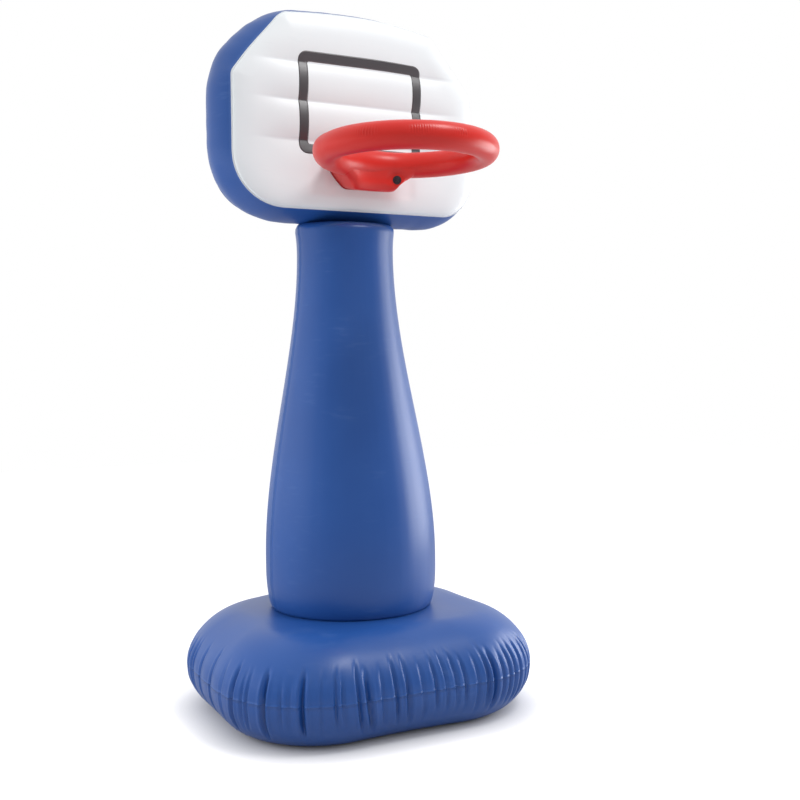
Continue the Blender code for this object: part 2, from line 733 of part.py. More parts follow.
def valve_place(kind):
    """The sheet that carries a valve, a point near its seat, and the way its strap points."""
    down, aside = Vector((0, 0, -1)), Vector((1, 0, 0))
    if kind in ("ballast", "base_air"):
        across, along = BALLAST_VALVE_SHARES if kind == "ballast" else BASE_AIR_VALVE_SHARES
        near = Vector((BASE_WIDTH * across, BASE_DEPTH * along, BASE_SIDE_HEIGHT))
        return "base_top_sheet", near, down if kind == "ballast" else aside
    if kind == "column":
        angle = math.pi / COLUMN_SEGMENTS / 2
        height = BASE_TOP + COLUMN_VALVE_RISE
        radius = column_radius(height)
        near = Vector((radius * math.sin(angle), radius * math.cos(angle), height))
        return "column_back_panel", near, down
    if kind == "board":
        near = Vector((0, BOARD_DEPTH / 2 + CHANNEL_BULGE, BOARD_BOTTOM + BOARD_VALVE_RISE))
        return "board_back_sheet", near, down
    x = LUG_BOTTOM_HALF_WIDTH * RING_VALVE_SHARE
    return "ring_lug", Vector((x, lug_front(x), LUG_BOTTOM + RING_VALVE_RISE)), down


def valve_site(carrier, near, strap_way, radius):
    """The frame of a valve on a skin: Z out of the film, X along the strap, clear of every facet."""
    skin = bmesh.new()
    skin.from_mesh(carrier.data)
    tree = BVHTree.FromBMesh(skin)
    skin.free()
    place, out, _, _ = tree.find_nearest(near)
    along = (strap_way - out * out.dot(strap_way)).normalized()
    frame = Matrix((along, out.cross(along), out)).transposed().to_4x4()
    frame.translation = place
    proud = 0
    for k in range(VALVE_SEGMENTS):
        turn = Matrix.Rotation(math.tau * k / VALVE_SEGMENTS, 4, "Z")
        for reach_share in (0.4, 0.6, 0.8, 1.0):
            start = frame @ turn @ Vector((radius * reach_share, 0, radius))
            hit, _, _, _ = tree.ray_cast(start, -out)
            if hit:
                proud = max(proud, (hit - place).dot(out))
    frame.translation = place + out * proud
    return frame


def valve_levels(size):
    """The heights of a valve's parts above the film, at a share of the usual size."""
    flange_top = GAP + VALVE_FLANGE_THICKNESS * size
    collar_low = flange_top + GAP
    collar_top = collar_low + COLLAR_THICKNESS * size
    return flange_top, collar_low, collar_top, collar_top + GAP


def valve_flange(name, size):
    """The flange welded on the film, with the sleeve that guides the stem."""
    flange_top = valve_levels(size)[0]
    bore = STEM_RADIUS * size + GAP
    sleeve = bore + VALVE_WALL * size
    rim, low = VALVE_FLANGE_RADIUS * size, -VALVE_SLEEVE_DEPTH * size
    slope_share, edge_share = 0.75, 0.4
    profile = [(bore, low), (bore, flange_top), (rim * slope_share, flange_top),
               (rim, GAP + (flange_top - GAP) * edge_share), (rim, GAP), (sleeve, GAP), (sleeve, low)]
    return add_closed(name, turned(profile), "valve_vinyl")


def valve_stem(name, size):
    """The sliding stem: collar, tube, stop bead and the ear that the strap hinges at."""
    _, collar_low, collar_top, _ = valve_levels(size)
    radius, collar = STEM_RADIUS * size, COLLAR_RADIUS * size
    mouth, throat = PLUG_RADIUS * size + GAP, PLUG_TIP_RADIUS * size + GAP
    bead_top = -(VALVE_SLEEVE_DEPTH + STEM_TRAVEL) * size - GAP
    low = bead_top - VALVE_WALL * size
    bead = radius + STEM_BEAD * size
    profile = [(mouth, collar_top), (collar, collar_top), (collar, collar_low), (radius, collar_low),
               (radius, bead_top), (bead, bead_top), (bead, low), (throat, low),
               (throat, collar_top - PLUG_DEPTH * size)]
    ear_end = (HINGE_DISTANCE - HINGE_ROLL_RADIUS) * size - GAP
    half = STRAP_WIDTH * size / 2
    inset = (collar - radius) / 2
    ear = box((collar - inset, -half, collar_low), (ear_end, half, collar_top - GAP))
    return fuse(name, turned(profile), [ear], "valve_vinyl")


def valve_stopper(name, size):
    """The stopper: a tapered plug, its cap, a pull tab and the strap with its hinge roll."""
    cap_low = valve_levels(size)[3]
    thickness, cap = CAP_THICKNESS * size, CAP_RADIUS * size
    tip_low = cap_low - PLUG_DEPTH * size
    edge_share, crown_share, overlap_share = 0.6, 0.8, 0.7
    profile = [(0, tip_low), (PLUG_TIP_RADIUS * size, tip_low), (PLUG_RADIUS * size, cap_low), (cap, cap_low),
               (cap, cap_low + thickness * edge_share), (cap * crown_share, cap_low + thickness),
               (0, cap_low + thickness)]
    half, strap = STRAP_WIDTH * size / 2, VALVE_WALL * size
    hinge = Vector((HINGE_DISTANCE * size, 0, cap_low + strap / 4))
    joined = cap * overlap_share
    arm = box((joined, -half, cap_low), (hinge.x, half, cap_low + strap))
    tab = box((-cap - TAB_LENGTH * size, -half, cap_low), (-joined, half, cap_low + strap))
    roll = bmesh.new()
    bmesh.ops.create_cone(roll, cap_ends=True, segments=VALVE_SEGMENTS // 2, radius1=HINGE_ROLL_RADIUS * size,
                          radius2=HINGE_ROLL_RADIUS * size, depth=STRAP_WIDTH * size,
                          matrix=Matrix.Translation(hinge) @ Matrix.Rotation(math.pi / 2, 4, "X"))
    stopper = fuse(name, turned(profile), [arm, tab, roll], "valve_vinyl")
    stopper.data.transform(Matrix.Translation(-hinge))
    return stopper, hinge


def add_valve(kind):
    """A valve on its sheet: flange, stem in the flange and stopper on the stem."""
    size = VALVE_SIZE_SHARES[kind]
    carrier_name, near, strap_way = valve_place(kind)
    carrier = bpy.data.objects[carrier_name]
    frame = valve_site(carrier, near, strap_way, VALVE_FLANGE_RADIUS * size)
    flange = valve_flange(kind + "_valve_flange", size)
    stem = valve_stem(kind + "_valve_stem", size)
    stopper, hinge = valve_stopper(kind + "_valve_stopper", size)
    flange.matrix_world = frame
    stem.parent = flange
    stopper.parent = stem
    stopper.location = hinge
    bore = STEM_RADIUS * size + GAP + VALVE_WALL * size + GAP
    bm = bmesh.new()
    bmesh.ops.create_cone(bm, cap_ends=True, segments=VALVE_SEGMENTS, radius1=bore, radius2=bore,
                          depth=OVERRUN + OVERRUN)
    cutter = helper(kind + "_valve_cutter", bm)
    cutter.matrix_world = frame
    combine(carrier, cutter, "DIFFERENCE")


def build():
    """Every sub-part of the hoop."""
    clear_scene()
    base_sheets()
    ballast_water()
    column_panel("column_front_panel", -1)
    column_panel("column_back_panel", 1)
    foot_disc()
    board_sheet("board_front_sheet", -1, "white_film")
    board_sheet("board_back_sheet", 1, "blue_film")
    board_band()
    for name, height in zip(("lower", "middle", "upper"), GROOVE_HEIGHTS):
        board_web("board_web_" + name, height)
    square_print()
    ring_sheet("ring_upper_sheet", 1)
    ring_sheet("ring_lower_sheet", -1)
    ring_lug()
    for kind in VALVE_SIZE_SHARES:
        add_valve(kind)


build()
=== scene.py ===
"""The free-standing inflatable hoop, dressed for a studio photograph.

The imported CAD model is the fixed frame.  Its film pieces are replaced by fuller forms: a
base cushion gathered at its seam, a bottle-shaped column, a channelled board with its side
band and printed square, and a tubular ring on its lug.  The valves stay as they are built
and are given their finish.
"""
import json
import logging
import math
from collections.abc import Iterator
from contextlib import contextmanager
from dataclasses import dataclass
from enum import Enum

import bpy
import numpy as np
from mathutils import Matrix, Vector


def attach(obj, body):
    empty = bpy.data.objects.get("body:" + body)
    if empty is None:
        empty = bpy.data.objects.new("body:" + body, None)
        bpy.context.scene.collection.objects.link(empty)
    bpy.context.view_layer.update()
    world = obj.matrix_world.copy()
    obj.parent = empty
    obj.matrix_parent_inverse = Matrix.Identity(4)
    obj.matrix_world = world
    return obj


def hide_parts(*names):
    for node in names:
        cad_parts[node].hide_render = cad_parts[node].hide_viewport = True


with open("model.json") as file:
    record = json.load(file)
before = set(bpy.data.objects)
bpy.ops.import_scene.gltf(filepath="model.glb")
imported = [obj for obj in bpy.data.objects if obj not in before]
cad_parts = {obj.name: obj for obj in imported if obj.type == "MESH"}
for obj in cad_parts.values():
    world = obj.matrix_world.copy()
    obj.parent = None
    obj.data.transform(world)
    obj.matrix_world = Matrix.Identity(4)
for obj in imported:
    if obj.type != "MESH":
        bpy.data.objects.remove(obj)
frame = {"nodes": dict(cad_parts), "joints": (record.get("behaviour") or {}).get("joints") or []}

log = logging.getLogger("hoop")
HOOP_BODY = "hoop"

Array = np.ndarray
Material = bpy.types.Material
Node = bpy.types.Node
Piece = bpy.types.Object
Socket = bpy.types.NodeSocket


class Slot(Enum):
    """The record's material slots for the films; no piece is given one of them here."""

    BLUE = "blue_film"
    WHITE = "white_film"
    RED = "red_film"
    PRINT = "black_print"


# Modelling by hand


def deselect_all() -> None:
    """Leave nothing selected and nothing active."""
    if bpy.context.object and bpy.context.object.mode != "OBJECT":
        bpy.ops.object.mode_set(mode="OBJECT")
    bpy.ops.object.select_all(action="DESELECT")
    bpy.context.view_layer.objects.active = None


def take(piece: Piece) -> None:
    """Select one piece alone and make it active."""
    deselect_all()
    piece.select_set(True)
    bpy.context.view_layer.objects.active = piece


@contextmanager
def editing(piece: Piece) -> Iterator[None]:
    """Edit mode with the whole of one piece selected, left again at the end.

    Args:
        piece: The mesh to edit.
    """
    take(piece)
    bpy.ops.object.mode_set(mode="EDIT")
    bpy.ops.mesh.select_all(action="SELECT")
    yield
    bpy.ops.object.mode_set(mode="OBJECT")


def named(name: str) -> Piece:
    """Name the primitive that was just added, and its mesh."""
    piece = bpy.context.object
    piece.name = name
    piece.data.name = name
    return piece


def places_of(piece: Piece) -> Array:
    """The places of a piece's vertices, one row each."""
    places = np.empty(len(piece.data.vertices) * 3)
    piece.data.vertices.foreach_get("co", places)
    return places.reshape(-1, 3)


def put(piece: Piece, places: Array) -> None:
    """Move a piece's vertices to new places."""
    piece.data.vertices.foreach_set("co", np.ascontiguousarray(places, dtype=float).ravel())
    piece.data.update()


def apply_modifier(piece: Piece, kind: str, **settings: object) -> None:
    """Add a modifier to a piece, set it and apply it.

    Args:
        piece: The mesh that takes the modifier.
        kind: The modifier's type.
        settings: Its settings by name.
    """
    take(piece)
    step = piece.modifiers.new(kind.lower(), kind)
    for name, value in settings.items():
        setattr(step, name, value)
    bpy.ops.object.modifier_apply(modifier=step.name)


def face_outward(piece: Piece, middle: Vector) -> None:
    """Turn a skin's faces away from a point inside it.

    Args:
        piece: The skin.
        middle: A point that the faces look away from.
    """
    with editing(piece):
        bpy.ops.mesh.normals_make_consistent(inside=False)
    faces = piece.data.polygons
    outward = sum(face.normal.dot(face.center - middle) * face.area for face in faces)
    if outward < 0:
        with editing(piece):
            bpy.ops.mesh.flip_normals()


def tube_skin(name: str, places: Array, capped: tuple[bool, bool]) -> Piece:
    """A skin round an axis: a circle that is extruded row by row and then shaped.

    Args:
        name: The piece's name.
        places: The vertices' places by row and by station round the row.
        capped: Whether the first and the last row are filled with a face.

    Returns:
        The new piece.
    """
    rows, stations = places.shape[:2]
    deselect_all()
    fill = "NGON" if capped[0] else "NOTHING"
    bpy.ops.mesh.primitive_circle_add(vertices=stations, radius=1, fill_type=fill)
    piece = named(name)
    with editing(piece):
        bpy.ops.mesh.select_mode(type="EDGE")
        bpy.ops.mesh.select_all(action="SELECT")
        if capped[0]:
            bpy.ops.mesh.region_to_loop()
        for _ in range(rows - 1):
            bpy.ops.mesh.extrude_edges_move(TRANSFORM_OT_translate={"value": (0, 0, 1)})
        if capped[1]:
            bpy.ops.mesh.edge_face_add()
    straight = places_of(piece)
    row = np.rint(straight[:, 2]).astype(int)
    turn = np.arctan2(straight[:, 1], straight[:, 0]) / math.tau
    station = np.rint(turn * stations).astype(int) % stations
    put(piece, places[row, station])
    return piece


def closed_skin(name: str, places: Array) -> Piece:
    """A tube or a strip that runs all the way round: its last row meets its first.

    Args:
        name: The piece's name.
        places: The vertices' places by row round the section and by station.

    Returns:
        The new piece.
    """
    meeting = 0.00001
    piece = tube_skin(name, np.concatenate([places, places[:1]]), (False, False))
    with editing(piece):
        bpy.ops.mesh.remove_doubles(threshold=meeting)
        bpy.ops.mesh.normals_make_consistent(inside=False)
    return piece


def grid_skin(name: str, places: Array) -> Piece:
    """An open sheet: a grid that is shaped row by row.

    Args:
        name: The piece's name.
        places: The vertices' places by row and by column.

    Returns:
        The new piece.
    """
    rows, columns = places.shape[:2]
    deselect_all()
    bpy.ops.mesh.primitive_grid_add(x_subdivisions=columns - 1, y_subdivisions=rows - 1, size=2)
    piece = named(name)
    flat = (places_of(piece)[:, :2] + 1) / 2
    column = np.rint(flat[:, 0] * (columns - 1)).astype(int)
    row = np.rint(flat[:, 1] * (rows - 1)).astype(int)
    put(piece, places[row, column])
    return piece


def wall(piece: Piece, thickness: float) -> None:
    """Give an open skin its thickness on the inner side, with a closed rim."""
    apply_modifier(piece, "SOLIDIFY", thickness=thickness, offset=-1, use_even_offset=False)


def mark_welds(piece: Piece, shares: Array) -> None:
    """Keep on each vertex of a piece how close it is to a weld, 1 on it, for its finish to read."""
    layer = piece.data.attributes.new("weld", "FLOAT", "POINT")
    layer.data.foreach_set("value", np.clip(shares, 0, 1).astype(np.float32))


def finish_piece(piece: Piece, finish: Material, nodes: tuple[str, ...]) -> None:
    """Dress a finished piece and let it ride on the hoop.

    Args:
        piece: The finished mesh.
        finish: Its material.
        nodes: The CAD nodes that it stands for.
    """
    piece.data.materials.clear()
    piece.data.materials.append(finish)
    take(piece)
    bpy.ops.object.shade_smooth()
    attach(piece, HOOP_BODY)
    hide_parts(*nodes)
    log.info("%s: %d faces for %s", piece.name, len(piece.data.polygons), ", ".join(nodes))


# Curves and loops


def ease(low: float, high: float, value: Array | float) -> Array | float:
    """0 below low, 1 above high, and an even ease between them."""
    share = np.clip((np.asarray(value, dtype=float) - low) / (high - low), 0, 1)
    return share * share * (3 - 2 * share)


def near(distance: Array, reach: float) -> Array:
    """1 where a distance is 0, falling smoothly to 0 past the reach."""
    return np.exp(-np.square(distance / reach))


def rounded_loop(half_x: float, half_y: float, corner: float, counts: tuple[int, int, int]) -> Array:
    """A rounded rectangle about the origin, anticlockwise from the lower end of its right side.

    Args:
        half_x: Half its size along X.
        half_y: Half its size along Y.
        corner: The radius of its corners.
        counts: The stations on a side along Y, on a corner and on a side along X.

    Returns:
        The stations' places, one row each.
    """
    run_x, run_y = half_x - corner, half_y - corner
    along_y, round_off, along_x = counts
    places = []
    for quarter in range(4):
        straight, across = (run_y, run_x) if quarter % 2 == 0 else (run_x, run_y)
        steps = along_y if quarter % 2 == 0 else along_x
        rise = straight * (2 * np.arange(steps) / steps - 1)
        side = np.column_stack([np.full(steps, across + corner), rise])
        angle = np.arange(round_off) / round_off * math.pi / 2
        arc = np.column_stack([across + corner * np.cos(angle), straight + corner * np.sin(angle)])
        turn = quarter * math.pi / 2
        spin = np.array([[math.cos(turn), math.sin(turn)], [-math.sin(turn), math.cos(turn)]])
        places.append(np.vstack([side, arc]) @ spin)
    return np.vstack(places)


def loop_normals(loop: Array) -> Array:
    """The outward direction at each station of an anticlockwise loop."""
    along = np.roll(loop, -1, axis=0) - np.roll(loop, 1, axis=0)
    along = along / np.linalg.norm(along, axis=1, keepdims=True)
    return np.column_stack([along[:, 1], -along[:, 0]])


def line_lengths(line: Array) -> Array:
    """How far along a line each of its points lies, from the first."""
    return np.concatenate([[0], np.cumsum(np.linalg.norm(np.diff(line, axis=0), axis=1))])


def spaced(line: Array, steps: Array, count: int) -> Array:
    """Even stations along a line, by how far along each of its points counts as lying."""
    spots = np.arange(count) / count * steps[-1]
    return np.column_stack([np.interp(spots, steps, line[:, k]) for k in range(2)])


def averaged(loop: Array, reach: int) -> Array:
    """Round off a closed loop: each station takes the mean of its neighbours within reach."""
    return sum(np.roll(loop, k, axis=0) for k in range(-reach, reach + 1)) / (2 * reach + 1)


def upright(loop: Array, y: Array | float) -> Array:
    """The places of an (x, z) loop that stands at one depth, or at a depth by station."""
    return np.column_stack([loop[:, 0], np.broadcast_to(y, len(loop)), loop[:, 1]])


# Valves that stay as they are built


@dataclass(frozen=True)
class ValveSeat:
    """Where a built valve's flange lies on the film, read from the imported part."""

    place: Vector
    out: Vector
    radius: float
    reach: float

    @classmethod
    def read(cls, kind: str) -> "ValveSeat":
        """Read a valve's seat from its flange and the way its stem slides.

        Args:
            kind: The first word or words of the valve's node names.

        Returns:
            The seat: a point of the film under the flange, the way out, and its sizes.
        """
        flange_share, clearance, spare = 0.08, 0.0004, 0.003
        slide = next(j for j in frame["joints"] if j["name"] == kind + "_stem_slide")
        out = np.array(Vector(slide["axis"]).normalized())
        flange = places_of(frame["nodes"][kind + "_valve_flange"])
        stem = places_of(frame["nodes"][kind + "_valve_stem"])
        centre = cls.axis_point(flange, out)
        radius = float(np.linalg.norm(np.cross(flange - centre, out), axis=1).max())
        under = (flange @ out).max() - flange_share * radius - clearance
        place = centre + out * (under - centre @ out)
        return cls(Vector(place), Vector(out), radius, float(under - (stem @ out).min() + spare))

    @staticmethod
    def axis_point(points: Array, out: Array) -> Array:
        """A point on the axis of a turned piece.

        Args:
            points: The piece's vertices.
            out: The axis.

        Returns:
            The point.
        """
        steep = 0.9
        side = np.cross(out, (0, 0, 1) if abs(out[2]) < steep else (1, 0, 0))
        side = side / np.linalg.norm(side)
        other = np.cross(out, side)
        flat = [(points @ way).max() / 2 + (points @ way).min() / 2 for way in (side, other)]
        return side * flat[0] + other * flat[1]

    def flatten(self, places: Array) -> Array:
        """Lay a skin flat under the flange, easing back to its own shape around it.

        Args:
            places: The skin's vertices.

        Returns:
            The places with the seat laid flat.
        """
        flat_share, ease_share, depth_share = 1.15, 2.8, 1.6
        out = np.array(self.out)
        away = places - np.array(self.place)
        height = away @ out
        radial = np.linalg.norm(away - np.multiply.outer(height, out), axis=-1)
        held = 1 - ease(self.radius * flat_share, self.radius * ease_share, radial)
        held = held * (np.abs(height) < self.radius * depth_share)
        return places - np.multiply.outer(held * height, out)

    def bore(self, piece: Piece) -> None:
        """Cut the hole that the sleeve and the stem go through.

        Args:
            piece: The film that the valve is welded to.
        """
        facets, bore_share, above = 40, 0.60, 0.003
        depth = self.reach + above
        middle = self.place + self.out * (above - depth / 2)
        deselect_all()
        radius = self.radius * bore_share
        bpy.ops.mesh.primitive_cylinder_add(vertices=facets, radius=radius, depth=depth)
        cutter = named(piece.name + "_bore")
        turn = self.out.to_track_quat("Z", "Y").to_matrix().to_4x4()
        cutter.data.transform(Matrix.Translation(middle) @ turn)
        apply_modifier(piece, "BOOLEAN", object=cutter, operation="DIFFERENCE", solver="EXACT")
        bpy.data.objects.remove(cutter, do_unlink=True)


# Base cushion


@dataclass(frozen=True)
class Pucker:
    """A crease gathered across the cushion's side, by its place along the seam in metres."""

    along: float
    depth: float
    width: float = 0.0046
    lean: float = 0.0
    low: float = 0.05
    high: float = 0.235


FINE = 0.0030
SEEN_PUCKERS = (
    Pucker(1.569, FINE, lean=0.004), Pucker(1.6402, 0.005, lean=0.006),
    Pucker(1.7374, 0.0075, 0.0042, 0.012, 0.055, 0.245), Pucker(1.8252, FINE, lean=0.01),
    Pucker(1.8853, 0.0095, 0.0048, 0.012, 0.04, 0.24), Pucker(1.9232, FINE, 0.0036, 0.01),
    Pucker(1.9426, FINE, 0.0036, 0.01), Pucker(1.9975, 0.0125, 0.0052, 0.005, 0.03, 0.235),
    Pucker(2.0473, FINE, 0.0036, 0.002, 0.075, 0.205), Pucker(2.0718, FINE, 0.0036, 0.002, 0.075, 0.205),
    Pucker(2.1066, 0.0125, 0.0054, 0.0, 0.045, 0.238), Pucker(2.1581, FINE, 0.004),
    Pucker(2.1967, 0.0052, 0.0038, -0.006, 0.075, 0.24), Pucker(2.2173, 0.0046, 0.0036, -0.008, 0.08, 0.225),
    Pucker(2.2634, 0.007, 0.0042, -0.016, 0.045, 0.248), Pucker(2.2925, 0.0105, 0.0058, -0.02, 0.04, 0.232),
    Pucker(2.3346, FINE, 0.0042, -0.012), Pucker(2.3757, 0.007, 0.0042, -0.014, 0.06, 0.248),
    Pucker(2.4118, 0.0074, 0.0046, -0.014, 0.045, 0.244), Pucker(2.4579, FINE, 0.004, -0.012),
    Pucker(2.499, 0.0058, 0.0038, -0.012, 0.085, 0.246), Pucker(2.5321, 0.0058, 0.0038, -0.012, 0.085, 0.244),
    Pucker(2.5642, 0.0062, 0.004, -0.012, 0.08, 0.246), Pucker(2.5933, 0.0056, 0.0038, -0.01, 0.085, 0.238),
    Pucker(2.6344, FINE, 0.004, -0.008), Pucker(2.6685, 0.0062, 0.0042, -0.01, 0.07, 0.252),
    Pucker(2.6935, 0.011, 0.0056, -0.008, 0.05, 0.235), Pucker(2.7266, 0.0052, 0.004, -0.006, 0.07, 0.225),
    Pucker(2.7547, 0.0064, 0.0042, -0.004, 0.055, 0.24), Pucker(2.7828, 0.0068, 0.0042, -0.004, 0.05, 0.245),
    Pucker(2.8139, 0.0074, 0.0044, 0.0, 0.045, 0.245), Pucker(2.85, 0.0068, 0.0042, 0.002, 0.05, 0.24),
)


@dataclass(frozen=True)
class BaseCushion:
    """The water-ballasted cushion: one film skin, gathered where its two sheets are welded."""

    half_width: float = 0.4896
    half_depth: float = 0.4140
    centre_x: float = 0.0037
    centre_y: float = -0.0405
    corner: float = 0.294
    side_height: float = 0.278
    crown: float = 0.0195
    crown_power: float = 0.85
    upper_round: float = 0.166
    lower_round: float = 0.127
    upper_power: float = 1.95
    lower_power: float = 2.08
    round_share: float = 0.82
    seat_radius: float = 0.256
    seam_lip: float = 0.0004
    seam_half: float = 0.0007
    seam_slope: float = 1.3
    weld_reach: float = 0.0025
    weld_share: float = 0.14
    stations: tuple[int, int, int] = (67, 124, 102)
    seen: tuple[Pucker, ...] = SEEN_PUCKERS
    spacing: tuple[float, float] = (0.032, 0.050)
    crowd: float = 1.50
    pinch: float = 0.84
    fade: float = 0.055
    low_reach: float = 0.80
    low_gather: float = 1.25
    pillow_share: float = 0.055
    seed: int = 11

    @property
    def top(self) -> float:
        """The height of the seat that the column stands on."""
        return self.side_height + self.crown

    def puckers(self, length: float) -> list[Pucker]:
        """Every crease round the seam, in the order that they lie.

        Args:
            length: The seam's length.

        Returns:
            The creases that the photograph shows, and others like them on the far sides.
        """
        depths, widths, leans = (0.0035, 0.0105), (0.0038, 0.0056), (-0.010, 0.010)
        lows, highs = (0.03, 0.08), (0.215, 0.250)
        draw = np.random.default_rng(self.seed)
        found, place = [], self.seen[-1].along - length
        while place < self.seen[0].along - self.spacing[1]:
            place += draw.uniform(*self.spacing)
            form = [draw.uniform(*span) for span in (depths, widths, leans, lows, highs)]
            found.append(Pucker(place, *form))
        return found + list(self.seen)

    def crease(self, pucker: Pucker, along: Array, height: Array, length: float) -> Array:
        """How far one crease draws the film in.

        Args:
            pucker: The crease.
            along: Each vertex's place along the seam.
            height: Each vertex's height.
            length: The seam's length.

        Returns:
            The pull, less than 0 on the crease's two ridges.
        """
        low_full, low_end = 0.3, 1.4
        ridge_place, ridge_width, ridge_share = 2.5, 1.6, 0.30
        middle = self.side_height / 2
        drift = pucker.lean * (height - middle) / middle
        away = (along - pucker.along - drift + length / 2) % length - length / 2
        low, high = pucker.low * self.low_reach, pucker.high
        held = ease(low, low + self.fade, height) * (1 - ease(high - self.fade, high, height))
        lower = 1 - ease(low_full * middle, low_end * middle, height)
        held = held * (1 + (self.low_gather - 1) * lower)
        width = pucker.width * self.pinch
        valley = 1 / (1 + np.square(away / width))
        ridge = near(np.abs(away) - width * ridge_place, width * ridge_width)
        return held * pucker.depth * self.crowd * (valley - ridge_share * ridge)

    def gather(self, along: Array, height: Array, length: float) -> Array:
        """How far the film is drawn in across the side, less than 0 where it swells.

        Args:
            along: Each vertex's place along the seam.
            height: Each vertex's height.
            length: The seam's length.

        Returns:
            The pull, in metres.
        """
        swell_up, swell_down = (0.03, 0.11), (0.17, 0.245)
        puckers = self.puckers(length)
        pull = np.zeros(np.broadcast(along, height).shape)
        for pucker in puckers:
            pull += self.crease(pucker, along, height, length)
        places = np.sort([pucker.along % length for pucker in puckers])
        places = np.concatenate([[places[-1] - length], places, [places[0] + length]])
        spot = np.searchsorted(places, along % length, side="right")
        low, high = places[spot - 1], places[np.minimum(spot, len(places) - 1)]
        share = (along % length - low) / (high - low)
        swell = 4 * share * (1 - share) * (high - low) * self.pillow_share
        held = ease(*swell_up, height) * (1 - ease(*swell_down, height))
        return pull - swell * held

    def rows(self, edge: Array) -> list[tuple[Array, Array]]:
        """The rows from the floor over the side and the top to the column's seat.

        Args:
            edge: The seam's stations about the base's own middle.

        Returns:
            How far in each row lies, by station, and its heights.
        """
        lower_rows, upper_rows, top_rows, floor_run = 22, 26, 15, 0.09
        middle = self.side_height / 2
        seat = edge / np.linalg.norm(edge, axis=1, keepdims=True) * self.seat_radius
        length = np.linalg.norm(edge - seat, axis=1)
        lower = np.minimum(self.lower_round, length * self.round_share)
        upper = np.minimum(self.upper_round, length * self.round_share)
        none = np.zeros(len(edge))
        found = [(lower + floor_run * share, none) for share in (1.0, 0.4, 0.1)]
        for angle in np.linspace(math.pi / 2, 0, lower_rows)[:-1]:
            out, down = self.rounding(angle, self.lower_power)
            found.append((lower * (1 - out), none + middle * (1 - down)))
        lip, slope = -self.seam_lip, self.seam_slope
        for inset, level in ((0, -slope), (lip, -1), (lip, 1), (0, slope)):
            found.append((none + inset, none + middle + self.seam_half * level))
        for angle in np.linspace(0, math.pi / 2, upper_rows)[1:]:
            out, high = self.rounding(angle, self.upper_power)
            inset = upper * (1 - out)
            found.append((inset, middle + middle * high + self.swell(inset, length)))
        for share in np.linspace(0, 1, top_rows)[1:]:
            inset = upper + (length - upper) * share
            found.append((inset, self.side_height + self.swell(inset, length)))
        return found

    @staticmethod
    def rounding(angle: float, power: float) -> tuple[float, float]:
        """How far out and how far up a rounded edge lies at an angle, as shares."""
        return math.cos(angle) ** (2 / power), math.sin(angle) ** (2 / power)

    def swell(self, inset: Array, length: Array) -> Array:
        """How far the top swells above the side, by the way in from the seam and to the seat."""
        return self.crown * np.power(np.sin(math.pi / 2 * (inset / length)), self.crown_power)

    def build(self, finish: Material) -> None:
        """Model the cushion and dress it.

        Args:
            finish: The film's material.
        """
        plain_at, gathered_at, inner_radii = 0.9, 0.5, (0.20, 0.12, 0.05)
        middle = np.array([self.centre_x, self.centre_y])
        edge = rounded_loop(self.half_width, self.half_depth, self.corner, self.stations) + middle
        normals, along = loop_normals(edge), line_lengths(edge)
        length = along[-1] + np.linalg.norm(edge[0] - edge[-1])
        toward = edge / np.linalg.norm(edge, axis=1, keepdims=True)
        span = np.linalg.norm(edge - toward * self.seat_radius, axis=1)
        rows = []
        for inset, height in self.rows(edge):
            pull = self.gather(along, height, length) * ease(plain_at, gathered_at, inset / span)
            flat = edge - toward * inset[:, None] - normals * pull[:, None]
            rows.append(np.column_stack([flat, height]))
        for radius in inner_radii:
            rows.append(np.column_stack([toward * radius, np.full(len(edge), self.top)]))
        places = np.array(rows)
        seats = [ValveSeat.read(kind) for kind in ("ballast", "base_air")]
        for seat in seats:
            places = seat.flatten(places)
        piece = tube_skin("base_cushion_film", places, (True, True))
        face_outward(piece, Vector((0, self.centre_y, self.side_height / 2)))
        for seat in seats:
            seat.bore(piece)
        above_seam = places_of(piece)[:, 2] - self.side_height / 2
        mark_welds(piece, self.weld_share * near(above_seam, self.weld_reach))
        finish_piece(piece, finish, ("base_top_sheet", "base_bottom_sheet"))


# Column


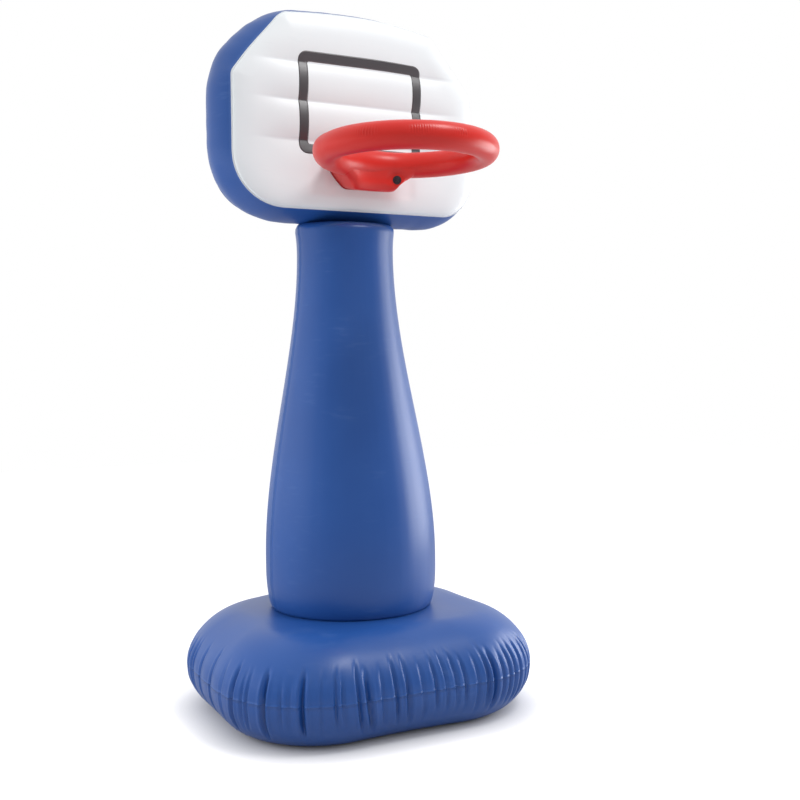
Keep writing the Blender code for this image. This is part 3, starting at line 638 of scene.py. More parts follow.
@dataclass(frozen=True)
class Column:
    """The bottle-shaped column, welded down both sides and standing on its tucked-in foot."""

    foot: float = 0.2986
    foot_round: float = 0.120
    foot_tuck: float = 0.022
    foot_rows: int = 13
    rows: int = 90
    belly_radius: float = 0.262
    belly_top: float = 0.450
    neck_radius: float = 0.1475
    neck_start: float = 1.380
    mouth_half_width: float = 0.153
    mouth_power: float = 1.5
    rim: float = 0.021
    rim_width: float = 0.004
    rim_depth: float = 0.026
    side_lip: float = 0.0032
    lip_turn: float = 0.0042
    weld_reach: float = 0.005
    weld_share: float = 0.5
    lean_x: float = -0.006
    lean_y: float = 0.006
    lean_span: tuple[float, float] = (0.45, 1.15)
    stations: int = 168

    def radius(self, height: float) -> float:
        """The column's radius at a height."""
        tucked = np.clip(self.foot + self.foot_round - height, 0, self.foot_round) / self.foot_round
        tuck = self.foot_tuck * (1 - np.sqrt(1 - np.square(tucked)))
        taper = ease(self.belly_top, self.neck_start, height)
        return float(self.belly_radius + (self.neck_radius - self.belly_radius) * taper - tuck)

    def angles(self) -> tuple[Array, Array]:
        """The stations' angles, and which of them lie on a side seam's lip.

        Returns:
            The angles in order, and 1 for each that stands out.
        """
        plain = np.arange(self.stations) / self.stations * math.tau
        turn = self.lip_turn
        around = plain[np.abs(np.sin(plain)) > turn * 3]
        seams = [side + share * turn for side in (0, math.pi) for share in (-1, -0.7, 0.7, 1)]
        lips = [0, 1, 1, 0] * 2
        both = np.concatenate([around, np.array(seams) % math.tau])
        order = np.argsort(both)
        return both[order], np.concatenate([np.zeros(len(around)), lips])[order]

    @staticmethod
    def ripple(angle: Array, height: float) -> Array:
        """The slight gathers along the side seams and the soft waves down the film.

        Args:
            angle: The stations' angles.
            height: The row's height.

        Returns:
            How far each station stands out.
        """
        gather_depth, gather_reach, wave_depth = 0.0007, 0.16, 0.0008
        gather_turns, gather_drift = 310, 17
        beside = near(np.sin(angle), gather_reach)
        drift = 2 * math.sin(height * gather_drift)
        gathers = gather_depth * math.sin(height * gather_turns + drift) * beside
        waves = wave_depth * np.sin(5 * angle + 3 * height) * np.sin(2 * angle - 4 * height)
        return gathers + waves

    def row(self, height: float, board: "BoardForm") -> Array:
        """One row of the skin; the last ones turn in over the rim under the board.

        Args:
            height: The row's height as if the column ended at the sheets' lower edge.
            board: The board's form, whose band stands on the mouth.

        Returns:
            The stations' places.
        """
        angle, lip = self.angles()
        top, radius = board.lowest - board.gap, self.radius(height)
        mouth = float(ease(self.neck_start, board.bottom, height))
        level = height + (top - board.bottom) * mouth ** self.mouth_power
        turned = max((level - top) / self.rim + 1, 0.0)
        inset = 1 - math.sqrt(max(1 - turned ** 2, 0.0))
        flare = (self.mouth_half_width - self.neck_radius) * mouth
        half_width = radius + flare - self.rim_width * inset
        half_depth = radius - self.rim_depth * inset
        ripple = self.ripple(angle, height) + lip * self.side_lip
        shift = float(ease(*self.lean_span, height))
        x = (half_width + ripple) * np.cos(angle) + self.lean_x * shift
        y = (half_depth + ripple) * np.sin(angle) + self.lean_y * shift
        return np.column_stack([x, y, np.full(len(x), level)])

    def build(self, board: "BoardForm", finish: Material) -> None:
        """Model the column up to the board's underside and dress it.

        Args:
            board: The board's form, whose band stands on the mouth.
            finish: The film's material.
        """
        sole_shares, cap_shares = (0.3, 0.7, 0.97), (0.9, 0.7, 0.4, 0.1)
        foot = self.foot + self.foot_round * (1 - np.cos(np.linspace(0, math.pi / 2, self.foot_rows)))
        heights = np.concatenate([foot, np.linspace(foot[-1], board.bottom, self.rows)[1:]])
        rows = [self.row(height, board) for height in heights]
        sole = [rows[0] * (share, share, 1) for share in sole_shares]
        cap = [rows[-1] * (share, share, 1) for share in cap_shares]
        seat = ValveSeat.read("column")
        piece = tube_skin("column_film", seat.flatten(np.array(sole + rows + cap)), (True, True))
        face_outward(piece, Vector((0, 0, board.bottom / 2)))
        seat.bore(piece)
        from_seam = places_of(piece)[:, 1] - self.lean_y
        mark_welds(piece, self.weld_share * near(from_seam, self.weld_reach))
        finish_piece(piece, finish, ("column_front_panel", "column_back_panel"))


# Backboard


@dataclass(frozen=True)
class BoardForm:
    """The board's form: its outline, the channels of its sheets and the bulge of its side band."""

    half_width: float = 0.390
    bottom: float = 1.497
    top: float = 2.066
    half_depth: float = 0.0947
    corner: float = 0.105
    left_corner: float = 0.150
    corner_steps: int = 24
    chamfer_start: float = 1.868
    chamfer_end: float = 2.055
    chamfer_half_width: float = 0.254
    chamfer_swell: float = 0.011
    chamfer_reach: float = 0.085
    top_half_width: float = 0.238
    top_bow: float = 0.014
    bulge_by_angle: tuple[tuple[float, float], ...] = (
        (0, 0.034), (45, 0.026), (90, 0.031), (128, 0.040), (180, 0.029), (206, 0.038), (232, 0.046),
        (250, 0.045), (270, 0.042), (315, 0.024), (345, 0.030), (360, 0.034))
    band_power: float = 0.9
    channel: float = 0.020
    groove_share: float = 0.52
    edge_round: float = 0.070
    grooves: tuple[float, float, float] = (1.6908, 1.8055, 1.9154)
    groove_power: float = 2.2
    groove_full: float = 0.210
    groove_end: float = 0.370
    lug_bulge: float = 0.017
    lug_half_width: float = 0.154
    lug_low: float = 1.551
    lug_high: float = 1.644
    lug_ease: float = 0.030
    drawn_from: float = 0.20
    tuck_in: float = 0.010
    left_out: float = 0.005
    droop: float = 0.016
    gap: float = 0.0004
    soften: float = 0.008
    outer_soften: float = 0.066
    stations: int = 560

    @property
    def lowest(self) -> float:
        """The height of the band's underside, which the column carries."""
        return self.bottom - self.bulge_by_angle[0][1]

    @staticmethod
    def softened(loop: Array, window: float) -> Array:
        """Round off a closed loop of even stations over a window in metres."""
        whole = np.linalg.norm(np.roll(loop, -1, axis=0) - loop, axis=1).sum()
        return averaged(loop, round(window / whole * len(loop)))

    def side(self, corner: float) -> list[tuple[float, float]]:
        """One side of the outline with a given lower corner, from its lower edge up to its top.

        Args:
            corner: The radius of the corner.

        Returns:
            The side's points, on the right.
        """
        angles = np.linspace(0, math.pi / 2, self.corner_steps)
        turn = [(math.sin(angle), 1 - math.cos(angle)) for angle in angles]
        places = [(self.half_width - corner + corner * x, self.bottom + corner * z) for x, z in turn]
        places += [(self.half_width, self.chamfer_start), (self.chamfer_half_width, self.chamfer_end)]
        return places + [(self.top_half_width, self.top)]

    def outline(self) -> Array:
        """The board's outline as (x, z), anticlockwise from the middle of its lower edge."""
        left = [(-x, z) for x, z in reversed(self.side(self.left_corner))]
        low, high = [(0, self.bottom)], [(0, self.top)]
        corners = np.array(low + self.side(self.corner) + high + left + low)
        return self.softened(spaced(corners, line_lengths(corners), self.stations), self.soften)

    def reach_at(self, height: Array, side: int) -> Array:
        """How far the board reaches to one side at each height.

        Args:
            height: The heights.
            side: 1 for the right and -1 for the left.

        Returns:
            The reach, always above 0.
        """
        loop = self.outline()
        half = loop[loop[:, 0] * side > 0]
        order = np.argsort(half[:, 1])
        return np.interp(height, half[order, 1], half[order, 0] * side)

    def edge_distance(self, x: Array, z: Array) -> Array:
        """How far each place on the board is from its outline.

        Args:
            x: The places' x.
            z: Their heights.

        Returns:
            The distances.
        """
        loop = self.outline()
        nearest = np.full(x.shape, np.inf)
        for start, end in zip(loop, np.roll(loop, -1, axis=0)):
            way = end - start
            share = np.clip(((x - start[0]) * way[0] + (z - start[1]) * way[1]) / (way @ way), 0, 1)
            away = np.hypot(x - start[0] - share * way[0], z - start[1] - share * way[1])
            nearest = np.minimum(nearest, away)
        return nearest

    def groove_distance(self, z: Array) -> Array:
        """How far each height is from the nearest groove."""
        return np.min([np.abs(z - groove) for groove in self.grooves], axis=0)

    def groove_hold(self, x: Array) -> Array:
        """1 where the webs hold the sheets in, easing to 0 towards the board's sides."""
        return 1 - ease(self.groove_full, self.groove_end, np.abs(x))

    def channels(self, x: Array, z: Array) -> Array:
        """How far a sheet stands out between the grooves that the webs hold in.

        Args:
            x: The places' x.
            z: Their heights.

        Returns:
            The height of the film over the board's flat face.
        """
        rounding = np.clip(self.edge_distance(x, z) / self.edge_round, 0, 1)
        fullness = np.sqrt(1 - np.square(1 - rounding))
        bounds = np.array((self.bottom,) + self.grooves + (self.top,))
        band = np.clip(np.searchsorted(bounds, z, side="right") - 1, 0, len(bounds) - 2)
        half = (bounds[band + 1] - bounds[band]) / 2
        dip = np.power(1 - np.minimum(self.groove_distance(z) / half, 1), self.groove_power)
        return self.channel * fullness * (1 - (1 - self.groove_share) * dip * self.groove_hold(x))

    def behind_lug(self, x: Array, z: Array) -> Array:
        """1 where the lug's weld lies flat on the front sheet, easing to 0 around it."""
        wide = 1 - ease(self.lug_half_width, self.lug_half_width + self.lug_ease, np.abs(x))
        low = ease(self.lug_low - self.lug_ease, self.lug_low, z)
        return wide * low * (1 - ease(self.lug_high, self.lug_high + self.lug_ease, z))

    def front(self, x: Array, z: Array) -> Array:
        """Where the front sheet lies."""
        bulge, held = self.channels(x, z), self.behind_lug(x, z)
        return -self.half_depth - bulge * (1 - held) - self.lug_bulge * held

    def bulges(self, normals: Array) -> Array:
        """How far the side band bulges, by the way that the outline faces there."""
        angle = np.degrees(np.arctan2(normals[:, 0], -normals[:, 1])) % 360
        return np.interp(angle, *np.array(self.bulge_by_angle).T)

    def outer_loop(self) -> Array:
        """The band's outline halfway back, one smooth curve round the board."""
        loop = self.outline()
        normals = loop_normals(loop)
        across, up = self.half_width + self.chamfer_half_width, self.chamfer_start + self.chamfer_end
        from_chamfer = np.linalg.norm(loop - (-across / 2, up / 2), axis=1)
        full = self.bulges(normals) + self.chamfer_swell * near(from_chamfer, self.chamfer_reach)
        return self.softened(loop + normals * full[:, None], self.outer_soften)

    def band_profile(self, share: float) -> float:
        """The band's rounding over the depth of the board."""
        return np.power(np.clip(np.sin(math.pi * share), 0, 1), self.band_power)

    def warp(self, places: Array) -> Array:
        """Bow the top edge, draw in the right side and let its upper corner droop.

        Args:
            places: Places on the straight form.

        Returns:
            The same places on the board.
        """
        droop_span, droop_low, under_top = (0.02, 0.33), 1.82, 0.004
        x, z = places[..., 0], places[..., 2]
        width = self.reach_at(np.clip(z, self.bottom, self.top - under_top), 1)
        bow = self.top_bow * np.square(x / width) * ease(self.grooves[-1], self.top, z)
        droop = self.droop * ease(*droop_span, x) * ease(droop_low, self.top, z)
        bent = places.copy()
        right = self.tuck_in * ease(self.drawn_from, self.half_width, x)
        left = self.left_out * ease(self.drawn_from, self.half_width, -x)
        bent[..., 0] = x - right - left
        bent[..., 2] = z - bow - droop
        return bent


@dataclass(frozen=True)
class Backboard:
    """The board's films: front and back sheets, the side band and the printed square."""

    form: BoardForm
    film: float = 0.0004
    columns: int = 132
    row_step: float = 0.0042
    edge_power: float = 1.5
    groove_weld: float = 0.004
    band_rows: int = 28
    band_weld: float = 0.005
    weld_reach: float = 0.0028
    weld_tuck: float = -0.0015
    weld_thickness: float = 0.0008
    square_half: float = 0.199
    square_top: float = 1.9475
    square_bottom: float = 1.652
    square_counts: tuple[int, int, int] = (84, 14, 100)
    bar: float = 0.029
    bar_rows: int = 9
    square_corner: float = 0.026
    inner_corner: float = 0.006

    def row_heights(self) -> Array:
        """The heights of the sheets' rows: on every groove, and closer to the rounded edges."""
        form = self.form
        bounds = (form.bottom,) + form.grooves + (form.top,)
        heights = [np.array([form.bottom])]
        for k, (low, high) in enumerate(zip(bounds, bounds[1:])):
            share = np.linspace(0, 1, round((high - low) / self.row_step) + 1)[1:]
            if k == 0:
                share = share ** self.edge_power
            if k == len(bounds) - 2:
                share = 1 - (1 - share) ** self.edge_power
            heights.append(low + (high - low) * share)
        return np.concatenate(heights)

    def sheet(self, name: str, side: int) -> Piece:
        """Model the front or the back sheet.

        Args:
            name: The piece's name.
            side: -1 for the front and 1 for the back.

        Returns:
            The open skin.
        """
        form, heights = self.form, self.row_heights()
        share = np.linspace(-1, 1, self.columns + 1)
        share = 0.5 * share + 0.5 * np.sin(share * math.pi / 2)
        right, left = (np.multiply.outer(form.reach_at(heights, way), share) for way in (1, -1))
        x = np.where(share > 0, right, left)
        z = np.broadcast_to(heights[:, None], x.shape)
        y = form.front(x, z) if side < 0 else form.half_depth + form.channels(x, z)
        places = form.warp(np.stack([x, y, z], axis=-1))
        if side > 0:
            places = ValveSeat.read("board").flatten(places)
        return grid_skin(name, places)

    def weld_share(self, piece: Piece) -> Array:
        """How close each vertex of a sheet is to a groove's weld."""
        x, _, z = places_of(piece).T
        return near(self.form.groove_distance(z), self.groove_weld) * self.form.groove_hold(x)

    def rim(self, name: str, side: int) -> Piece:
        """Model the weld lip round the front (-1) or the back (1) sheet."""
        loop = self.form.outline()
        normals, face = loop_normals(loop), side * (self.form.half_depth + self.film)
        inner, outer, under = self.weld_tuck, self.weld_reach, -self.weld_thickness
        section = ((inner, 0.0), (outer, 0.0), (outer, under), (inner, under))
        rows = [upright(loop + normals * out, face + side * back) for out, back in section]
        return closed_skin(name, self.form.warp(np.array(rows)))

    def band(self) -> Piece:
        """Model the side band, bulging between the two sheets."""
        form, wave_depth, short_wave, long_wave = self.form, 0.0006, 95, 23
        loop = form.outline()
        outer, normals, along = form.outer_loop(), loop_normals(loop), line_lengths(loop)
        rows = []
        for depth in (1 - np.cos(np.linspace(0, math.pi, self.band_rows))) / 2:
            wave = wave_depth * np.sin(along * short_wave + 3 * depth) * np.sin(along * long_wave)
            full = loop + (outer - loop) * form.band_profile(depth)
            flat = full + normals * (wave * math.sin(math.pi * depth))[:, None]
            rows.append(upright(flat, form.half_depth * (2 * depth - 1)))
        return tube_skin("board_band_film", form.warp(np.array(rows)), (False, False))

    def square(self) -> Piece:
        """Model the printed square as a thin ribbon that follows the front sheet."""
        form, snap = self.form, 0.0018
        half_z = (self.square_top - self.square_bottom) / 2
        middle = (self.square_top + self.square_bottom) / 2
        half_x, counts = self.square_half, self.square_counts
        outer = rounded_loop(half_x, half_z, self.square_corner, counts)
        inner = rounded_loop(half_x - self.bar, half_z - self.bar, self.inner_corner, counts)
        rows = []
        for share in np.linspace(0, 1, self.bar_rows):
            flat = outer + (inner - outer) * share
            x, z = flat[:, 0], flat[:, 1] + middle
            for groove in form.grooves:
                z = np.where(np.abs(z - groove) < snap, groove, z)
            rows.append(np.column_stack([x, form.front(x, z) - self.film, z]))
        return tube_skin("target_square_film", form.warp(np.array(rows)), (False, False))

    def build(self, blue: Material, white: Material, ink: Material) -> None:
        """Model the board's films and dress them.

        Args:
            blue: The band's and the back's material.
            white: The front's material.
            ink: The square's material.
        """
        form = self.form
        front, back = self.sheet("board_front_film", -1), self.sheet("board_back_film", 1)
        band, square = self.band(), self.square()
        for piece in (front, back, band, square):
            face_outward(piece, Vector((0, 0, (form.bottom + form.top) / 2)))
        for piece in (front, back, band):
            wall(piece, self.film)
        wall(square, self.film / 2)
        ValveSeat.read("board").bore(back)
        for piece in (front, back):
            mark_welds(piece, self.weld_share(piece))
        from_edge = np.abs(places_of(band)[:, 1]) - form.half_depth
        mark_welds(band, near(from_edge, self.band_weld))
        finish_piece(front, white, ("board_front_sheet",))
        finish_piece(back, blue, ("board_back_sheet",))
        finish_piece(band, blue, ("board_side_band",))
        finish_piece(square, ink, ("target_square_print",))
        rims = (("front", -1, Slot.WHITE, white), ("back", 1, Slot.BLUE, blue))
        for name, side, slot, finish in rims:
            rim = self.rim(f"board_{name}_weld", side)
            mark_welds(rim, np.ones(len(rim.data.vertices)))
            finish_piece(rim, finish, (f"board_{name}_sheet",))


# Ring and lug


@dataclass(frozen=True)
class Ring:
    """The red tube ring, gathered in places along its seam, and the lug that holds it."""

    radius: float = 0.2160
    tube: float = 0.0370
    ahead: float = 0.399
    height: float = 1.6218
    far_fill: float = 0.0046
    fill_start: float = 68.0
    fill_end: float = 102.0
    fill_ease: float = 0.4
    gathers: int = 212
    wander: tuple[tuple[float, float, float], ...] = ((1.9, 7, 0), (1.3, 17, 1))
    gather_depth: float = 0.0024
    gathered: tuple[tuple[float, float, float], ...] = (
        (219, 7, 1.2), (251, 8, 1), (276, 5, 1), (20, 6, 1), (58, 8, 1), (97, 6, 1), (136, 8, 1))
    gather_lift: float = 0.20
    gather_reach: float = 0.0085
    ridge_power: float = 4.5
    ridge_level: float = 0.18
    stations: int = 1344
    tube_rows: int = 20
    lug_front_form: tuple[tuple[float, float], ...] = (
        (0.064, 1.544), (0.073, 1.556), (0.084, 1.568), (0.107, 1.584), (0.130, 1.600), (0.152, 1.616),
        (0.160, 1.640))
    lug_rear_form: tuple[tuple[float, float], ...] = (
        (0.060, 1.560), (0.069, 1.568), (0.077, 1.576), (0.086, 1.586), (0.097, 1.600), (0.108, 1.616),
        (0.118, 1.640))
    lug_corner: float = 0.011
    lug_margin: float = 0.004
    lug_seat: float = 0.1124
    lug_reach: float = 0.025
    lug_edge: float = 0.026
    lug_flank_swell: float = 0.002
    lug_rows: int = 12
    lug_weld: float = 0.004
    lug_inside: float = 0.02
    lug_stations: int = 280
    film: float = 0.0004

    def tube_film(self) -> Piece:
        """Model the ring's tube with its gathers."""
        turn = np.arange(self.stations) / self.stations * math.tau
        phase, degrees = self.gathers * turn, np.degrees(turn)
        for size, count, start in self.wander:
            phase = phase + size * np.sin(count * turn + start)
        ridge = np.exp(self.ridge_power * (np.cos(phase) - 1)) - self.ridge_level
        strength = sum(share * near(degrees - middle, reach) for middle, reach, share in self.gathered)
        filled = self.far_fill * ease(self.fill_start, self.fill_end, degrees)
        filled = filled * ease(0.0, self.fill_ease, np.sin(turn))
        rows = []
        for angle in np.linspace(0, math.tau, 2 * self.tube_rows, endpoint=False):
            out, up = self.tube * math.cos(angle), self.tube * math.sin(angle)
            lift = (angle + math.pi) % math.tau - math.pi - self.gather_lift
            reach = float(near(lift * self.tube, self.gather_reach))
            swell = self.gather_depth * reach * strength * ridge + filled
            radius = self.radius + out * (1 + swell / self.tube)
            level = self.height + up * (1 + swell / self.tube)
            x, y = radius * np.cos(turn), radius * np.sin(turn) - self.ahead
            rows.append(np.column_stack([x, y, level]))
        return closed_skin("ring_tube_film", np.array(rows))

    def lug_front(self, x: Array, z: Array) -> Array:
        """Where the lug's front lies: it leaves the tube's inner wall smoothly and eases to upright.

        Args:
            x: The places' x.
            z: Their heights.

        Returns:
            Their y.
        """
        leave, upright_at, sunk, hidden_rise, hidden_share = 0.006, 0.056, 0.0004, 0.016, 0.5
        below = np.clip(self.height - z, 0, None)
        follow = self.tube - np.sqrt(self.tube ** 2 - np.minimum(below, leave) ** 2)
        slope = leave / math.sqrt(self.tube ** 2 - leave ** 2)
        share = np.clip((below - leave) / (upright_at - leave), 0, 1)
        left = self.tube - self.lug_reach - follow
        turn = slope * (upright_at - leave) * share * np.square(1 - share)
        back = follow + turn + left * share * share * (3 - 2 * share)
        reach = self.tube - sunk - back + sunk * ease(0.0, 1.0, share)
        hidden = ease(0.0, hidden_rise, z - self.height)
        reach = reach * (1 - hidden) + self.lug_reach * hidden_share * hidden
        return np.sqrt(np.square(self.radius - reach) - np.square(x)) - self.ahead

    def lug_loop(self, share: float, grow: float) -> Array:
        """The lug's outline between its weld on the board and its front, as (x, z), anticlockwise.

        Args:
            share: 0 at the board and 1 at the front.
            grow: How far it is grown.

        Returns:
            The stations, spaced as on the front.
        """
        shrink_round = 0.9
        front, rear = np.array(self.lug_front_form), np.array(self.lug_rear_form)
        half, whole = (
            np.vstack([[[0, side[0, 1]]], side, (side * (-1, 1))[::-1], [[0, side[0, 1]]]])
            for side in (rear + (front - rear) * share, front))
        steps = line_lengths(whole)
        window = self.lug_corner + shrink_round * max(-grow, 0)
        loop = spaced(half, steps, self.lug_stations)
        loop = averaged(loop, round(window / steps[-1] * self.lug_stations))
        return loop + loop_normals(loop) * grow

    def lug_film(self) -> Piece:
        """Model the lug: weld margin, flanks, a rounded edge and the curved front."""
        inner_shares = (0.95, 0.89, 0.82, 0.74, 0.66, 0.57, 0.47, 0.37, 0.26, 0.14, 0.03)
        rows = [upright(self.lug_loop(0, grow), -self.lug_seat) for grow in (self.lug_margin, 0.0)]
        front = self.lug_front(*self.lug_loop(1, 0.0).T) + self.lug_edge
        for share in np.linspace(0, 1, self.lug_rows)[1:-1]:
            loop = self.lug_loop(share, self.lug_flank_swell * math.sin(math.pi * share))
            rows.append(upright(loop, -self.lug_seat + (front + self.lug_seat) * share))
        for angle in np.linspace(0, math.pi / 2, self.lug_rows):
            loop = self.lug_loop(1, -self.lug_edge * (1 - math.cos(angle)))
            rounded = self.lug_edge * (1 - math.sin(angle))
            rows.append(upright(loop, self.lug_front(*loop.T) + rounded))
        middle = np.array([0, loop[:, 1].mean()])
        for share in inner_shares:
            inner = middle + (loop - middle) * share
            rows.append(upright(inner, self.lug_front(*inner.T)))
        places = ValveSeat.read("ring").flatten(np.array(rows))
        return tube_skin("ring_lug_film", places, (False, True))

    def build(self, red: Material) -> None:
        """Model the ring and its lug and dress them.

        Args:
            red: Their film's material.
        """
        tube = self.tube_film()
        mark_welds(tube, np.zeros(len(tube.data.vertices)))
        finish_piece(tube, red, ("ring_upper_sheet", "ring_lower_sheet"))
        lug = self.lug_film()
        inside = (0, -(self.lug_seat + self.lug_inside), self.lug_rear_form[-1][1] - self.tube)
        face_outward(lug, Vector(inside))
        wall(lug, self.film)
        ValveSeat.read("ring").bore(lug)
        mark_welds(lug, near(places_of(lug)[:, 1] + self.lug_seat, self.lug_weld))
        finish_piece(lug, red, ("ring_lug",))


# Finishes


def srgb(red: int, green: int, blue: int) -> tuple[float, float, float, float]:
    """A linear colour from values of 0 to 255 as a picture shows them."""

    def linear(value: int) -> float:
        """One channel of the colour, made linear."""
        share = value / 255
        return share / 12.92 if share <= 0.04045 else ((share + 0.055) / 1.055) ** 2.4

    return (linear(red), linear(green), linear(blue), 1.0)


class Wiring:
    """Adds and joins the nodes of one material, group or world."""

    def __init__(self, tree: bpy.types.NodeTree) -> None:
        """Start with an empty tree."""
        self.tree = tree
        tree.nodes.clear()

    def feed(self, entry: Socket, value: object) -> None:
        """Join a socket to an input, or set the input's value."""
        if isinstance(value, Socket):
            self.tree.links.new(value, entry)
        else:
            entry.default_value = value

    def add(self, kind: str, inputs: dict | None = None, **settings: object) -> Node:
        """Add a node.

        Args:
            kind: The node's type.
            inputs: Values or sockets for its inputs, by name or number.
            settings: Its other settings.

        Returns:
            The node.
        """
        node = self.tree.nodes.new(kind)
        for name, value in settings.items():
            setattr(node, name, value)
        for key, value in (inputs or {}).items():
            self.feed(node.inputs[key], value)
        return node

    def noise(self, vector: Socket, scale: object, detail: float = 2.0) -> Socket:
        """A noise value over the surface, by its coordinates, scale and detail."""
        inputs = {"Vector": vector, "Scale": scale, "Detail": detail}
        return self.add("ShaderNodeTexNoise", inputs).outputs["Fac"]

    def between(
        self, value: Socket, low: float, high: float, start: object = 0.0, end: object = 1.0,
    ) -> Socket:
        """Map a value from one range to another.

        Args:
            value: The value.
            low: Where the first range starts.
            high: Where it ends.
            start: What low becomes.
            end: What high becomes.

        Returns:
            The mapped value.
        """
        inputs = {"Value": value, "From Min": low, "From Max": high, "To Min": start, "To Max": end}
        return self.add("ShaderNodeMapRange", inputs).outputs["Result"]

    def mix(self, share: object, first: object, second: object) -> Socket:
        """Mix two colours, by how much of the second shows."""
        inputs = {0: share, 6: first, 7: second}
        return self.add("ShaderNodeMix", inputs, data_type="RGBA").outputs[2]

    def work(self, operation: str, first: object, second: object) -> Socket:
        """A sum, product or other operation on two values."""
        return self.add("ShaderNodeMath", {0: first, 1: second}, operation=operation).outputs["Value"]

    def surface(self, colour: Socket, roughness: object, relief: tuple[Socket, float, float]) -> Node:
        """A lit surface with its fine relief, joined to the output.

        Args:
            colour: Its colour.
            roughness: Its roughness.
            relief: The relief's height, strength and distance.

        Returns:
            The surface's shader node.
        """
        bump = self.add("ShaderNodeBump", dict(zip(("Height", "Strength", "Distance"), relief)))
        shader = self.add("ShaderNodeBsdfPrincipled", {
            "Base Color": colour, "Roughness": roughness, "Normal": bump.outputs["Normal"]})
        self.add("ShaderNodeOutputMaterial", {"Surface": shader.outputs["BSDF"]})
        return shader


def new_material(name: str) -> tuple[Material, Wiring]:
    """A new material and the wiring of its empty tree."""
    made = bpy.data.materials.new(name)
    made.use_nodes = True
    return made, Wiring(made.node_tree)


def film_surface() -> bpy.types.NodeTree:
    """The group that every film shares: its uneven tone, its scuffs and its fine relief."""
    found = bpy.data.node_groups.get("film_surface")
    if found:
        return found
    streak_form, streak_turn = (9.0, 9.0, 46.0), (0.5, 0.35, 0.2)
    streak_scale, streak_span, patch_scale, patch_span = 1.6, (0.56, 0.72), 6.0, (0.45, 0.7)
    dent_scale, grain_share = 22.0, 0.12
    group = bpy.data.node_groups.new("film_surface", "ShaderNodeTree")
    wires = Wiring(group)
    for name, kind in (("Vector", "Vector"), ("Tone Scale", "Float"), ("Grain Scale", "Float")):
        group.interface.new_socket(name, in_out="INPUT", socket_type="NodeSocket" + kind)
    for name in ("Tone", "Scuff", "Height"):
        group.interface.new_socket(name, in_out="OUTPUT", socket_type="NodeSocketFloat")
    given = wires.add("NodeGroupInput")
    vector, tone_scale, grain_scale = (given.outputs[k] for k in range(3))
    tone = wires.noise(vector, tone_scale, detail=3.0)
    stretch = {"Vector": vector, "Scale": streak_form, "Rotation": streak_turn}
    stretched = wires.add("ShaderNodeMapping", stretch).outputs["Vector"]
    streaks = wires.between(wires.noise(stretched, streak_scale, detail=4.0), *streak_span)
    patches = wires.between(wires.noise(vector, patch_scale), *patch_span)
    scuff = wires.work("MULTIPLY", streaks, patches)
    grain, dents = wires.noise(vector, grain_scale), wires.noise(vector, dent_scale)
    height = wires.work("ADD", wires.work("MULTIPLY", grain, grain_share), dents)
    wires.add("NodeGroupOutput", {0: tone, 1: scuff, 2: height})
    return group


@dataclass(frozen=True)
class FilmFinish:
    """A welded vinyl film: its colour, gloss and relief, changed on its welds and scuffs."""

    name: str
    colour: tuple[int, int, int]
    shade: tuple[int, int, int]
    weld: tuple[int, int, int]
    roughness: float
    weld_share: float = 0.35
    scuff_share: float = 0.10
    tone_scale: float = 3.0
    tone_span: tuple[float, float] = (0.3, 0.7)
    grain_scale: float = 900.0
    gloss_change: float = 0.08
    relief: float = 0.12
    relief_depth: float = 0.0009
    specular: float = 0.5
    coat: float = 0.0
    coat_roughness: float = 0.30

    def build(self) -> Material:
        """Make the material.

        Returns:
            The material.
        """
        made, wires = new_material(self.name)
        made.diffuse_color = srgb(*self.colour)
        place = wires.add("ShaderNodeTexCoord").outputs["Object"]
        inputs = {"Vector": place, "Tone Scale": self.tone_scale, "Grain Scale": self.grain_scale}
        film = wires.add("ShaderNodeGroup", inputs, node_tree=film_surface())
        weld = wires.add("ShaderNodeAttribute", attribute_name="weld").outputs["Fac"]
        tone = wires.between(film.outputs["Tone"], *self.tone_span)
        scuff = wires.work("MULTIPLY", film.outputs["Scuff"], self.scuff_share)
        base = wires.mix(tone, srgb(*self.shade), srgb(*self.colour))
        worn = wires.mix(scuff, base, srgb(*self.weld))
        welded = wires.mix(wires.work("MULTIPLY", weld, self.weld_share), worn, srgb(*self.weld))
        less, more = 1 - self.gloss_change, 1 + self.gloss_change
        gloss = wires.between(tone, 0.0, 1.0, self.roughness * less, self.roughness * more)
        relief = (film.outputs["Height"], self.relief, self.relief_depth)
        shader = wires.surface(welded, wires.work("ADD", gloss, scuff), relief)
        shader.inputs["Specular IOR Level"].default_value = self.specular
        shader.inputs["Coat Weight"].default_value = self.coat
        shader.inputs["Coat Roughness"].default_value = self.coat_roughness
        return made


@dataclass(frozen=True)
class WaterFinish:
    """The clear ballast water, slightly tinted."""

    name: str = "ballast_water_clear"
    colour: tuple[int, int, int] = (120, 150, 165)
    light: tuple[int, int, int] = (146, 176, 186)
    roughness: float = 0.1
    tint_scale: float = 8.0
    ripple_scale: float = 40.0
    ripple: float = 0.05
    ripple_depth: float = 0.001

    def build(self) -> Material:
        """Make the material.

        Returns:
            The material.
        """
        made, wires = new_material(self.name)
        place = wires.add("ShaderNodeTexCoord").outputs["Object"]
        tint = wires.mix(wires.noise(place, self.tint_scale), srgb(*self.colour), srgb(*self.light))
        ripples = wires.noise(place, self.ripple_scale)
        wires.surface(tint, self.roughness, (ripples, self.ripple, self.ripple_depth))
        return made


# Studio


